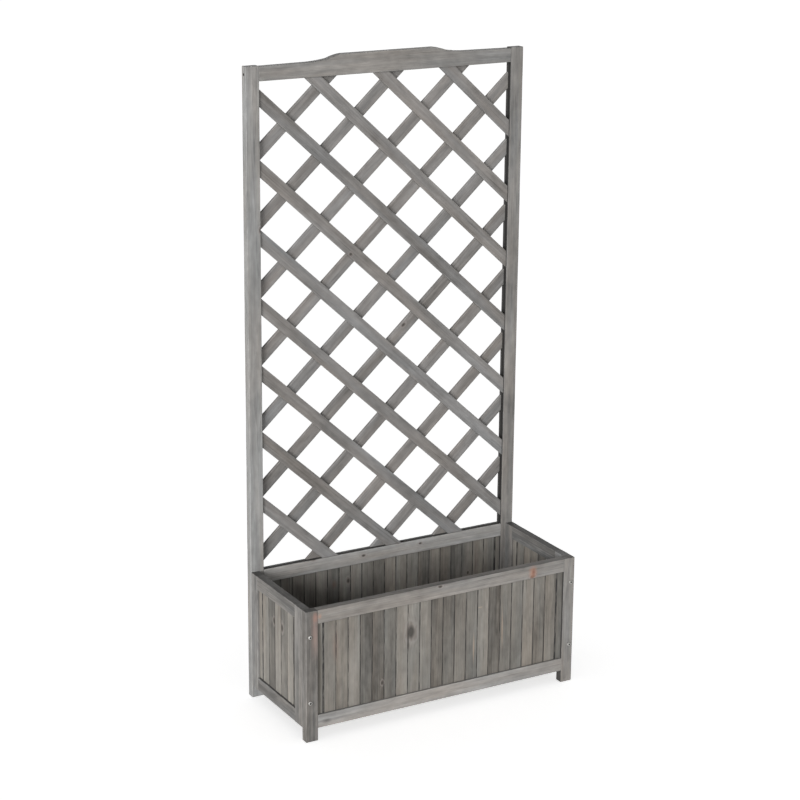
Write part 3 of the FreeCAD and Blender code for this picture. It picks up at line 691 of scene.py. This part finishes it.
common_part(arch, ARCH)
half = (high - low) / 2
write_notes(arch.data, middle, (half.x, half.z, half.y), (0, 2, 1), tree_seed(draw), (0.1, 0.1))
arch.data.materials.append(woods[slot_of[ARCH]])
hand_over(arch, ARCH)

# %% [markdown]
# ## Rules for what repeats
# Boards, slats and fixings repeat, so each gets a rule, a tree of geometry nodes with named
# inputs. This helper starts a tree with its inputs, and the next one runs a tree, keeps the
# result as a plain mesh and takes the rule off again. The inputs are set by their socket's
# identifier, and before the object is first evaluated, so no stale size is ever used. Every
# rule ends by making its faces flat. Smooth shading would average the directions of the few
# faces that a slat has, and its flats would darken from one end to the other.

# %% Start and run a rule


def start_rule(name, **kinds):
    """A geometry tree that takes a mesh and named inputs, whose kinds are Float, Int and so on."""
    tree = bpy.data.node_groups.new(name, "GeometryNodeTree")
    tree.interface.new_socket("Geometry", in_out="OUTPUT", socket_type="NodeSocketGeometry")
    tree.interface.new_socket("Geometry", in_out="INPUT", socket_type="NodeSocketGeometry")
    for word, kind in kinds.items():
        tree.interface.new_socket(word, in_out="INPUT", socket_type=f"NodeSocket{kind}")
    return tree, add(tree, "NodeGroupInput")


def end_rule(tree, geometry, material):
    """Realizes the instances, keeps their flats flat and gives them their material."""
    real = add(tree, "GeometryNodeRealizeInstances", {"Geometry": geometry})[0]
    flat = add(tree, "GeometryNodeSetShadeSmooth", {"Geometry": real, "Shade Smooth": False})[0]
    dressed = add(tree, "GeometryNodeSetMaterial", {"Geometry": flat, "Material": material})[0]
    add(tree, "NodeGroupOutput", {"Geometry": dressed})
    return tree


def run_rule(tree, name, start=None, **sizes):
    piece = bpy.data.objects.new(name, start or bpy.data.meshes.new(name))
    rule = piece.modifiers.new(tree.name, "NODES")
    rule.node_group = tree
    for socket in tree.interface.items_tree:
        if socket.in_out == "INPUT" and socket.name in sizes:
            rule[socket.identifier] = sizes[socket.name]
    bpy.context.scene.collection.objects.link(piece)
    evaluated = piece.evaluated_get(bpy.context.evaluated_depsgraph_get())
    mesh = bpy.data.meshes.new_from_object(evaluated)
    piece.modifiers.remove(rule)
    piece.data = mesh
    return piece


def write_notes_by_rule(tree, geometry, **notes):
    """Writes the given notes of a timber on a rule's geometry."""
    for note, value in notes.items():
        geometry = add(tree, "GeometryNodeStoreNamedAttribute",
                       {"Geometry": geometry, "Name": f"timber_{note}", "Value": value},
                       data_type="FLOAT_VECTOR")[0]
    return geometry


def drawn_notes(tree, seed, number):
    """A timber's tree and tone, drawn by lot from its number."""
    spans = {"seed": ((-4, -0.06, -0.06), (4, 0.06, 0.06)), "tone": ((-1, -1, 0), (1, 1, 0))}
    notes = {}
    for more, (note, (low, high)) in enumerate(spans.items(), start=1):
        lot = add(tree, "ShaderNodeMath", {0: seed, 1: more}, operation="ADD")[0]
        notes[note] = add(tree, "FunctionNodeRandomValue",
                          {0: low, 1: high, "ID": number, "Seed": lot},
                          data_type="FLOAT_VECTOR")[0]
    return notes


# %% [markdown]
# ## A row of boards
# All four sides of the box and its floor are rows of boards: equal ones in the middle and
# one at each end that was ripped to fit. The rule makes a single board as a rounded outline
# drawn along a line, sets one on each point of a row, and narrows the two at the ends. Real
# boards never stand quite alike, so each gets a trace of play, its own grain and its own tone.

# %% One board


def board_on_end(tree, sizes, board, half_length):
    """A board with eased edges, standing on end about the origin, with its places noted."""
    outline = add(tree, "GeometryNodeCurvePrimitiveQuadrilateral", {"Width": board,
                                                                    "Height": sizes["thickness"]})
    outline = add(tree, "GeometryNodeFilletCurve", {"Curve": outline[0], "Count": 3,
                                                    "Radius": sizes["ease"]}, mode="POLY")[0]
    foot = add(tree, "ShaderNodeMath", {0: half_length, 1: -1.0}, operation="MULTIPLY")[0]
    line = add(tree, "GeometryNodeCurvePrimitiveLine", {
        "Start": add(tree, "ShaderNodeCombineXYZ", {2: foot})[0],
        "End": add(tree, "ShaderNodeCombineXYZ", {2: half_length})[0]})[0]
    one = add(tree, "GeometryNodeCurveToMesh", {"Curve": line, "Profile Curve": outline,
                                                "Fill Caps": True})[0]
    x, y, z = add(tree, "ShaderNodeSeparateXYZ", {0: add(tree, "GeometryNodeInputPosition")[0]})
    at = add(tree, "ShaderNodeCombineXYZ", {0: z, 1: x, 2: y})[0]
    return write_notes_by_rule(tree, one, at=at)


# %% Places in the row


def places_in_row(tree, sizes, board, index):
    """A point for each board, counted from the middle of the row, and each board's width."""
    full, pitch, joint = sizes["full_boards"], sizes["pitch"], sizes["joint"]
    count = add(tree, "ShaderNodeMath", {0: full, 1: 2.0}, operation="ADD")[0]
    row = add(tree, "GeometryNodeMeshLine", {"Count": count, "Offset": (0, 0, 0)})[0]
    half_count = add(tree, "ShaderNodeMath", {0: full, 1: 0.5, 2: 0.5}, operation="MULTIPLY_ADD")[0]
    number = add(tree, "ShaderNodeMath", {0: index, 1: half_count}, operation="SUBTRACT")[0]
    steps = add(tree, "ShaderNodeMath", {0: number}, operation="ABSOLUTE")[0]
    last = add(tree, "ShaderNodeMath", {0: steps, 1: half_count, 2: 0.1}, operation="COMPARE")[0]
    width = add(tree, "GeometryNodeSwitch", {"Switch": last, "False": board,
                                             "True": sizes["edge_board"]}, input_type="FLOAT")[0]

    # a full board lies a number of pitches from the middle, and the last one beyond them all
    regular = add(tree, "ShaderNodeMath", {0: steps, 1: pitch}, operation="MULTIPLY")[0]
    edge = add(tree, "ShaderNodeMath", {0: full, 1: pitch}, operation="MULTIPLY")[0]
    edge = add(tree, "ShaderNodeMath", {0: edge, 1: joint}, operation="ADD")[0]
    edge = add(tree, "ShaderNodeMath", {0: edge, 1: sizes["edge_board"]}, operation="ADD")[0]
    edge = add(tree, "ShaderNodeMath", {0: edge, 1: 0.5}, operation="MULTIPLY")[0]
    away = add(tree, "GeometryNodeSwitch", {"Switch": last, "False": regular, "True": edge},
               input_type="FLOAT")[0]
    side = add(tree, "ShaderNodeMath", {0: number}, operation="SIGN")[0]
    across = add(tree, "ShaderNodeMath", {0: away, 1: side}, operation="MULTIPLY")[0]
    wobble = add(tree, "FunctionNodeRandomValue",
                 {0: (0, -1, 0), 1: (0, 1, 0), "Seed": sizes["seed"]},
                 data_type="FLOAT_VECTOR")[0]
    wobble = add(tree, "ShaderNodeVectorMath", {0: wobble, "Scale": sizes["play"]},
                 operation="SCALE")[0]
    spot = add(tree, "ShaderNodeCombineXYZ", {0: across})[0]
    spot = add(tree, "ShaderNodeVectorMath", {0: spot, 1: wobble}, operation="ADD")[0]
    return add(tree, "GeometryNodeSetPosition", {"Geometry": row, "Position": spot})[0], width


# %% The rule for a row of boards


def row_of_boards(material):
    tree, sizes = start_rule("row_of_boards", full_boards="Int", pitch="Float", joint="Float",
                             edge_board="Float", thickness="Float", board_length="Float",
                             ease="Float", play="Float", turn="Vector", place="Vector", seed="Int")
    index = add(tree, "GeometryNodeInputIndex")[0]
    board = add(tree, "ShaderNodeMath", {0: sizes["pitch"], 1: sizes["joint"]},
                operation="SUBTRACT")[0]
    half_length = add(tree, "ShaderNodeMath", {0: sizes["board_length"], 1: 0.5},
                      operation="MULTIPLY")[0]
    one = board_on_end(tree, sizes, board, half_length)
    row, width = places_in_row(tree, sizes, board, index)
    half_width = add(tree, "ShaderNodeMath", {0: width, 1: 0.5}, operation="MULTIPLY")[0]
    half_thick = add(tree, "ShaderNodeMath", {0: sizes["thickness"], 1: 0.5},
                     operation="MULTIPLY")[0]
    half = add(tree, "ShaderNodeCombineXYZ", {0: half_length, 1: half_width, 2: half_thick})[0]
    row = write_notes_by_rule(tree, row, half=half, **drawn_notes(tree, sizes["seed"], index))
    narrow = add(tree, "ShaderNodeMath", {0: width, 1: board}, operation="DIVIDE")[0]
    boards = add(tree, "GeometryNodeInstanceOnPoints", {
        "Points": row, "Instance": one,
        "Scale": add(tree, "ShaderNodeCombineXYZ", {0: narrow, 1: 1.0, 2: 1.0})[0]})[0]
    boards = add(tree, "GeometryNodeTransform", {"Geometry": boards, "Rotation": sizes["turn"],
                                                 "Translation": sizes["place"]})[0]
    return end_rule(tree, boards, material)


board_rule = row_of_boards(woods["stained_boards"])
floor_rule = row_of_boards(woods["floor_timber"])

# %% [markdown]
# ## Reading sizes off the frame
# The frame groups the boards of one side in one node, each a separate solid. Walking from
# triangle to triangle finds the solids again, and their boxes give the rule its sizes.

# %% Boxes of the solids in a node


def solids_of(node):
    """Lowest and highest corner of each separate solid of a node, from left to right."""
    shape = merged_copy(node)
    waiting, boxes = set(shape.verts), []
    while waiting:
        reached = [waiting.pop()]
        for vertex in reached:
            for edge in vertex.link_edges:
                other = edge.other_vert(vertex)
                if other in waiting:
                    waiting.discard(other)
                    reached.append(other)
        boxes.append((Vector(min(v.co[axis] for v in reached) for axis in range(3)),
                      Vector(max(v.co[axis] for v in reached) for axis in range(3))))
    shape.free()
    return sorted(boxes, key=lambda box: [round(number, 5) for number in box[0]])


# %% Make the four panels
BOARD_EASE = 0.9 * MM
BOARD_PLAY = 0.12 * MM
for seed, (node, axis) in enumerate({"front_boards": 0, "back_boards": 0, "left_end_boards": 1,
                                     "right_end_boards": 1}.items(), start=1):
    boxes = solids_of(node)
    wide = boxes[1][1] - boxes[1][0]
    pitch = boxes[2][0][axis] - boxes[1][0][axis]
    low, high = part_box(node)
    panel = run_rule(
        board_rule, f"{node}_stained", full_boards=len(boxes) - 2, pitch=pitch,
        joint=pitch - wide[axis], edge_board=(boxes[0][1] - boxes[0][0])[axis],
        thickness=wide[1 - axis], board_length=wide.z, ease=BOARD_EASE, play=BOARD_PLAY,
        seed=seed * 10, turn=(0, 0, math.pi / 2 * axis), place=(low + high) / 2)
    hand_over(panel, node)

# %% Lay the floor
floor_nodes = [name for name in frame["nodes"] if name.startswith("floor_slat_")]
slats = sorted((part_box(name) for name in floor_nodes), key=lambda box: box[0].x)
low, high = slats[0][0], slats[-1][1]
wide = slats[0][1] - slats[0][0]
pitch = slats[1][0].x - slats[0][0].x
floor_row = run_rule(
    floor_rule, "floor_slats_sawn", full_boards=len(slats) - 2, pitch=pitch, joint=pitch - wide.x,
    edge_board=wide.x, thickness=wide.z, board_length=wide.y, ease=BOARD_EASE, play=0.0, seed=70,
    turn=(math.pi / 2, 0, 0), place=(low + high) / 2)
hand_over(floor_row, *floor_nodes)

# %% [markdown]
# ## The lattice
# Each layer is ten slats at the same slope and the same spacing, and every slat is cut off
# where it meets the frame. The rule lays long slats on a column of points and keeps what
# lies within the opening. After that cut each slat's notes are worked out from the place
# alone: turned level, the slats are a stack, so the height in the stack tells which slat a
# point belongs to.

# %% A leaning stack of slats
SLAT_REACH = 2.0                   # m to each side, so every slat is far too long


def stack_of_slats(tree, sizes, middle_y):
    """Level slats, one above the other, turned together by the slope."""
    outline = add(tree, "GeometryNodeCurvePrimitiveQuadrilateral", {"Width": sizes["thickness"],
                                                                    "Height": sizes["slat_width"]})
    outline = add(tree, "GeometryNodeFilletCurve", {"Curve": outline[0], "Count": 2,
                                                    "Radius": sizes["ease"]}, mode="POLY")[0]
    line = add(tree, "GeometryNodeCurvePrimitiveLine", {"Start": (-SLAT_REACH, 0, 0),
                                                        "End": (SLAT_REACH, 0, 0)})[0]
    one = add(tree, "GeometryNodeCurveToMesh", {"Curve": line, "Profile Curve": outline,
                                                "Fill Caps": True})[0]
    lowest = add(tree, "ShaderNodeCombineXYZ", {1: middle_y, 2: sizes["stack_start"]})[0]
    stack = add(tree, "GeometryNodeMeshLine", {
        "Count": sizes["slats"], "Start Location": lowest,
        "Offset": add(tree, "ShaderNodeCombineXYZ", {2: sizes["stack_step"]})[0]})[0]
    layer = add(tree, "GeometryNodeInstanceOnPoints", {"Points": stack, "Instance": one})[0]
    lean = add(tree, "ShaderNodeCombineXYZ", {1: sizes["slope"]})[0]
    layer = add(tree, "GeometryNodeTransform", {"Geometry": layer, "Rotation": lean})[0]
    return add(tree, "GeometryNodeRealizeInstances", {"Geometry": layer})[0]


# %% Which slat a point belongs to
SLAT_HALF_LENGTH = 9.0             # m: longer than any slat, so no end grain shows


def slat_notes(tree, sizes, middle_y):
    """Turned level again, the height in the stack tells the slat and the place across it."""
    back = add(tree, "ShaderNodeMath", {0: sizes["slope"], 1: -1.0}, operation="MULTIPLY")[0]
    spot = add(tree, "GeometryNodeInputPosition")[0]
    level = add(tree, "ShaderNodeVectorRotate", {"Vector": spot, "Angle": back},
                rotation_type="Y_AXIS")[0]
    x, y, z = add(tree, "ShaderNodeSeparateXYZ", {0: level})
    height = add(tree, "ShaderNodeMath", {0: z, 1: sizes["stack_start"]}, operation="SUBTRACT")[0]
    number = add(tree, "ShaderNodeMath", {0: height, 1: sizes["stack_step"]}, operation="DIVIDE")[0]
    number = add(tree, "ShaderNodeMath", {0: number}, operation="ROUND")[0]
    centre = add(tree, "ShaderNodeMath", {0: number, 1: sizes["stack_step"]},
                 operation="MULTIPLY")[0]
    across = add(tree, "ShaderNodeMath", {0: height, 1: centre}, operation="SUBTRACT")[0]
    through = add(tree, "ShaderNodeMath", {0: y, 1: middle_y}, operation="SUBTRACT")[0]
    half_width, half_thick = (
        add(tree, "ShaderNodeMath", {0: sizes[size], 1: 0.5}, operation="MULTIPLY")[0]
        for size in ("slat_width", "thickness"))
    return {
        "at": add(tree, "ShaderNodeCombineXYZ", {0: x, 1: across, 2: through})[0],
        "half": add(tree, "ShaderNodeCombineXYZ", {0: SLAT_HALF_LENGTH, 1: half_width,
                                                   2: half_thick})[0],
        **drawn_notes(tree, sizes["seed"], number)}


# %% The rule for one layer of the lattice


def lattice_layer(material):
    tree, sizes = start_rule("lattice_layer", slats="Int", slat_width="Float", thickness="Float",
                             slope="Float", stack_step="Float", stack_start="Float", ease="Float",
                             opening_size="Vector", opening_middle="Vector", seed="Int")
    middle_y = add(tree, "ShaderNodeSeparateXYZ", {0: sizes["opening_middle"]})[1]
    opening = add(tree, "GeometryNodeMeshCube", {"Size": sizes["opening_size"]})[0]
    opening = add(tree, "GeometryNodeTransform", {"Geometry": opening,
                                                  "Translation": sizes["opening_middle"]})[0]
    layer = stack_of_slats(tree, sizes, middle_y)
    layer = add(tree, "GeometryNodeMeshBoolean", {"Mesh 2": [layer, opening]},
                operation="INTERSECT", solver="EXACT")[0]
    layer = write_notes_by_rule(tree, layer, **slat_notes(tree, sizes, middle_y))
    return end_rule(tree, layer, material)


lattice_rule = lattice_layer(woods["stained_slats"])

# %% [markdown]
# The slope, the spacing and the first slat of each layer are measured on the frame's slats.
# The box of a slat that runs from post to post is as high as the climb of its middle line and
# the slat's own upright width together, and the centre of that box lies on the middle line.

# %% Make both layers of the lattice
post_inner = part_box("rear_right_post")[0].x
lattice_low, lattice_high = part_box("middle_rail")[1].z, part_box(ARCH)[0].z
SLAT_WIDTH = 28 * MM
SLAT_EASE = 1.0 * MM
UPRIGHT_WIDTH = SLAT_WIDTH / math.cos(math.radians(42.3))      # measured straight up a slat
for layer, lean, seed in (("front", 1, 100), ("back", -1, 200)):
    nodes = sorted(name for name in frame["nodes"] if name.startswith(f"lattice_{layer}_"))
    boxes = [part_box(name) for name in nodes]
    across = [high.x - low.x for low, high in boxes]
    full = [box for box, width in zip(boxes, across) if width > max(across) - 0.1 * MM]
    low, high = full[0]
    middle, thickness = (low + high) / 2, high.y - low.y
    slope = math.atan((high.z - low.z - UPRIGHT_WIDTH) / (high.x - low.x))
    step = abs(full[1][0].z - low.z) * math.cos(slope)
    stack_height = middle.x * math.sin(slope) * lean + middle.z * math.cos(slope)
    start = stack_height - step * (len(nodes) - 1 - boxes.index(full[0]))
    into_groove = max(across) / 2 - post_inner      # above 0 for the front layer only
    opening = (max(across), 3 * thickness, lattice_high - lattice_low + 2 * into_groove)
    piece = run_rule(
        lattice_rule, f"lattice_{layer}_layer", slats=len(nodes), slat_width=SLAT_WIDTH,
        thickness=thickness, slope=lean * slope, stack_step=step, stack_start=start,
        ease=SLAT_EASE, opening_size=opening, seed=seed,
        opening_middle=(0, middle.y, (lattice_low + lattice_high) / 2))
    print(f"{layer} layer: slope {math.degrees(slope):.1f} degrees, step {step / MM:.1f} mm")
    hand_over(piece, *nodes)

# %% [markdown]
# ## Metals
# The frame screws are zinc-plated steel: bright, neutral and never mirror-smooth, because
# the plating is thin and gets handled. Nails, pins and the countersunk screws are
# plain drawn steel, which is darker and duller. Both are metals, so their colour is the
# colour of their reflection, and slow noise in it stands for finger marks and dust. A key
# socket is a deep recess, so a note on the mesh, 1 in the socket, paints shade into it and
# makes it dull.

# %% Make the metals
METAL_PATCH = 3 * MM               # from one patch of dust or wear to the next
# painted shade in a key socket
PAINTED_SOCKET_SHADE = "#1D1B1A"


def speckled(tree, patch, dark, light):
    """Fine noise on the object's own coordinates, and the colour that it gives."""
    here = add(tree, "ShaderNodeTexCoord")["Object"]
    noise = add(tree, "ShaderNodeTexNoise", {"Vector": here, "Scale": 1 / patch,
                                             "Detail": 3.0})["Fac"]
    stops = ((0.35, dark), (0.65, light))
    return noise, add(tree, "ShaderNodeValToRGB", {"Fac": noise}, stops=stops)["Color"]


def drawn_metal(name, bright, dull, roughness):
    """Machined metal with uneven brightness and roughness."""
    material, tree = bare_material(name)
    dust, colour = speckled(tree, METAL_PATCH, dull, bright)
    # 1 in a socket: painted shade, and a rougher surface
    socket_shade = add(tree, "ShaderNodeAttribute", attribute_name="socket")["Fac"]
    colour = add(tree, "ShaderNodeMix", {0: socket_shade, 6: colour, 7: linear(PAINTED_SOCKET_SHADE)},
                 data_type="RGBA")[2]
    rough = add(tree, "ShaderNodeMapRange", {"Value": dust, "To Min": roughness + 0.15,
                                             "To Max": roughness - 0.15})[0]
    rough = add(tree, "ShaderNodeMath", {0: socket_shade, 1: 0.4, 2: rough}, operation="MULTIPLY_ADD")[0]
    surface = add(tree, "ShaderNodeBsdfPrincipled", {"Base Color": colour, "Metallic": 1.0,
                                                     "Roughness": rough})[0]
    add(tree, "ShaderNodeOutputMaterial", {"Surface": surface})
    return material


metals = {"zinc_screws": drawn_metal("zinc_plated_screws", "#BCBBB8", "#94938F", 0.55),
          "plain_steel": drawn_metal("plain_drawn_steel", "#8F8D8A", "#5E5A56", 0.5)}

# %% [markdown]
# ## Turned fixings
# Screws, nails and pins are turned bodies: rings of points, one for each change of width from
# the head down to the tip. Where a ring follows a hexagon or a cross instead of a circle, it
# is the rim of a key socket or of a driver's recess. One of each kind is made standing on
# end, and the rule below sets copies of it wherever the frame has one.

# %% Turn one fixing


def rim(angle, outline="round"):
    """How far out a ring reaches at an angle in degrees, as a share of its radius."""
    if outline == "hexagon":
        return math.cos(math.radians(30)) / math.cos(math.radians(angle % 60 - 30))
    if outline == "cross":
        return 1.0 if (angle + 15) % 90 <= 30 else 0.42
    return 1.0


def turn_fixing(name, rings, sides):
    """rings: radius, height and outline, in mm, from the middle of the head to the tip."""
    shape = bmesh.new()
    loops = []
    angles = [360 * i / sides for i in range(sides)]
    for radius, height, *outline in rings:
        loops.append([shape.verts.new((radius * rim(a, *outline) * math.cos(math.radians(a)) * MM,
                                       radius * rim(a, *outline) * math.sin(math.radians(a)) * MM,
                                       height * MM)) for a in angles])
    for one, two in zip(loops, loops[1:]):
        for i in range(sides):
            j = (i + 1) % sides
            shape.faces.new((one[j], one[i], two[i], two[j]))
    shape.faces.new(loops[0])
    shape.faces.new(loops[-1][::-1])
    bmesh.ops.recalc_face_normals(shape, faces=shape.faces)
    made = as_object(name, shape)
    socket = [len(ring) > 2 for ring in rings for _ in range(sides)]
    made.data.attributes.new("socket", "FLOAT", "POINT").data.foreach_set("value", socket)
    return made


# %% The rule that sets fixings


def set_fixings(material):
    tree, sizes = start_rule("set_fixings", fixing="Object", seed="Int")
    one = add(tree, "GeometryNodeObjectInfo", {"Object": sizes["fixing"]})["Geometry"]
    outward = add(tree, "GeometryNodeInputNamedAttribute", {"Name": "outward"},
                  data_type="FLOAT_VECTOR")[0]
    upright = add(tree, "FunctionNodeAlignRotationToVector", {"Vector": outward}, axis="Z")[0]
    roll = add(tree, "FunctionNodeRandomValue", {2: 0.0, 3: math.tau, "Seed": sizes["seed"]},
               data_type="FLOAT")[1]
    roll = add(tree, "FunctionNodeAxisAngleToRotation", {"Axis": (0, 0, 1), "Angle": roll})[0]
    rolled = add(tree, "FunctionNodeRotateRotation", {0: upright, 1: roll},
                 rotation_space="LOCAL")[0]
    placed = add(tree, "GeometryNodeInstanceOnPoints", {"Points": sizes["Geometry"],
                                                        "Instance": one, "Rotation": rolled})[0]
    return end_rule(tree, placed, material)


def dress_fixings(node, head, rings, sides, seed):
    """head is 1 where the heads are at the end away from the origin, and -1 at the near end."""
    points, outward = [], []
    for low, high in solids_of(node):
        axis = max(range(3), key=lambda a: (high - low)[a])
        middle = (low + high) / 2
        side = head * (1 if middle[axis] > 0 else -1)
        middle[axis] = high[axis] if side > 0 else low[axis]
        points.append(middle)
        outward.append([side if a == axis else 0 for a in range(3)])
    start = bpy.data.meshes.new(f"{node}_points")
    start.from_pydata(points, [], [])
    attribute = start.attributes.new("outward", "FLOAT_VECTOR", "POINT")
    attribute.data.foreach_set("vector", [number for way in outward for number in way])
    one = turn_fixing(f"one_of_{node}", rings, sides)
    rule = set_fixings(metals[slot_of[node]])
    piece = run_rule(rule, f"{node}_turned", start, fixing=one, seed=seed)
    bpy.data.objects.remove(one)
    hand_over(piece, node)


# %% Set every fixing
COUNTERSUNK = [(1.7, -1.5, "cross"), (2.2, -0.02, "cross"), (3.4, 0.0), (4.0, -0.1), (2.0, -2.4)]
dress_fixings("frame_screws", 1, [
    (2.1, -1.6, "hexagon"), (2.2, -0.02, "hexagon"), (2.4, 0.0), (3.5, -0.1), (4.1, -0.5),
    (4.42, -1.2), (4.5, -2.35), (4.4, -2.6), (2.5, -2.6), (2.5, -41.6), (1.8, -42.6)], 24, 1)
dress_fixings("arch_rail_screws", 1, [*COUNTERSUNK, (2.0, -51), (0.6, -52)], 24, 2)
dress_fixings("cleat_screws", -1, [*COUNTERSUNK, (2.0, -29), (0.6, -30)], 24, 3)
dress_fixings("floor_nails", 1, [(0.8, 0.0), (1.0, -0.2), (1.0, -22.5), (0.3, -24)], 8, 4)
dress_fixings("lattice_pins", 1, [(0.6, 0.0), (0.8, -0.2), (0.8, -13), (0.2, -14)], 8, 5)

# %% [markdown]
# ## Dowels
# The corner dowels are plain beech, hidden in their holes. Their shape in the frame is right
# already, so they only get a wood: fine, pale brown flecks on bare beech.

# %% Beech for the dowels
FLECK = 1.5 * MM
beech, tree = bare_material("fluted_beech_dowels")
colour = speckled(tree, FLECK, "#B58C63", "#D9B48A")[1]
surface = add(tree, "ShaderNodeBsdfPrincipled", {"Base Color": colour, "Roughness": 0.6,
                                                 "IOR": 1.5})[0]
add(tree, "ShaderNodeOutputMaterial", {"Surface": surface})
dowels = frame["nodes"]["corner_dowels"]
dowels.data.materials.clear()
dowels.data.materials.append(beech)
print("dowels:", dowels.data.materials[0].name)

# %% [markdown]
# ## Floor and light
# The photograph was taken in a white room. The tops of the rails are much darker than their
# fronts, so the light comes level from the front and mostly from the left. Two far, soft
# lamps do that here, and a dim white sky fills the shadows. A third lamp stands behind: from
# the front it changes next to nothing, but it keeps the back of the planter from being black.
# The floor is a lit white sheet. It glows by itself and takes only the sky's light besides,
# so nothing but a faint shade under the planter is left of the shadows, as in the photograph.
# Light linking keeps the lamps off it, and it throws no light up on the planter, which would
# brighten the undersides and the inside of the box.

# %% Floor
FLOOR_HALF = 60.0                  # m, so that its rim is out of sight
FLOOR_GLOW = 0.68                  # with the sky's light it comes to white
corners = [(-FLOOR_HALF, -FLOOR_HALF, 0), (FLOOR_HALF, -FLOOR_HALF, 0),
           (FLOOR_HALF, FLOOR_HALF, 0), (-FLOOR_HALF, FLOOR_HALF, 0)]
floor_mesh = bpy.data.meshes.new("floor")
floor_mesh.from_pydata(corners, [], [(0, 1, 2, 3)])
floor = bpy.data.objects.new("floor", floor_mesh)
bpy.context.scene.collection.objects.link(floor)
sheet, tree = bare_material("lit_white_sheet")
surface = add(tree, "ShaderNodeBsdfPrincipled", {
    "Base Color": (0.98, 0.98, 0.98, 1), "Roughness": 1.0, "Emission Color": (1, 1, 1, 1),
    "Emission Strength": FLOOR_GLOW})[0]
add(tree, "ShaderNodeOutputMaterial", {"Surface": surface})
floor_mesh.materials.append(sheet)
floor.visible_diffuse = False
print("floor:", sheet.name)

# %% Sky and lamps
SKY = 0.37
world = bpy.data.worlds.new("white_studio")
bpy.context.scene.world = world
world.use_nodes = True
background = world.node_tree.nodes["Background"].inputs
background["Color"].default_value, background["Strength"].default_value = (1, 1, 1, 1), SKY
bpy.context.scene.view_settings.view_transform = "Standard"

not_the_floor = bpy.data.collections.new("not_the_floor")
not_the_floor.objects.link(floor)
not_the_floor.collection_objects[0].light_linking.link_state = "EXCLUDE"
LAMPS = {                          # where the light comes from, how wide in degrees, how strong
    "lamp_left": ((-6.4, -3.8, 1.5), 30, 5.3),
    "lamp_front": ((-1.2, -9.2, 1.5), 35, 1.25),
    "lamp_back": ((4.5, 9.0, 0.8), 40, 2.6),
}
for name, (spot, wide, strength) in LAMPS.items():
    lamp = bpy.data.objects.new(name, bpy.data.lights.new(name, "SUN"))
    lamp.data.angle, lamp.data.energy = math.radians(wide), strength
    lamp.location = spot
    lamp.rotation_euler = Vector(spot).to_track_quat("Z", "Y").to_euler()
    lamp.light_linking.receiver_collection = not_the_floor
    bpy.context.scene.collection.objects.link(lamp)
print("lamps:", list(LAMPS))
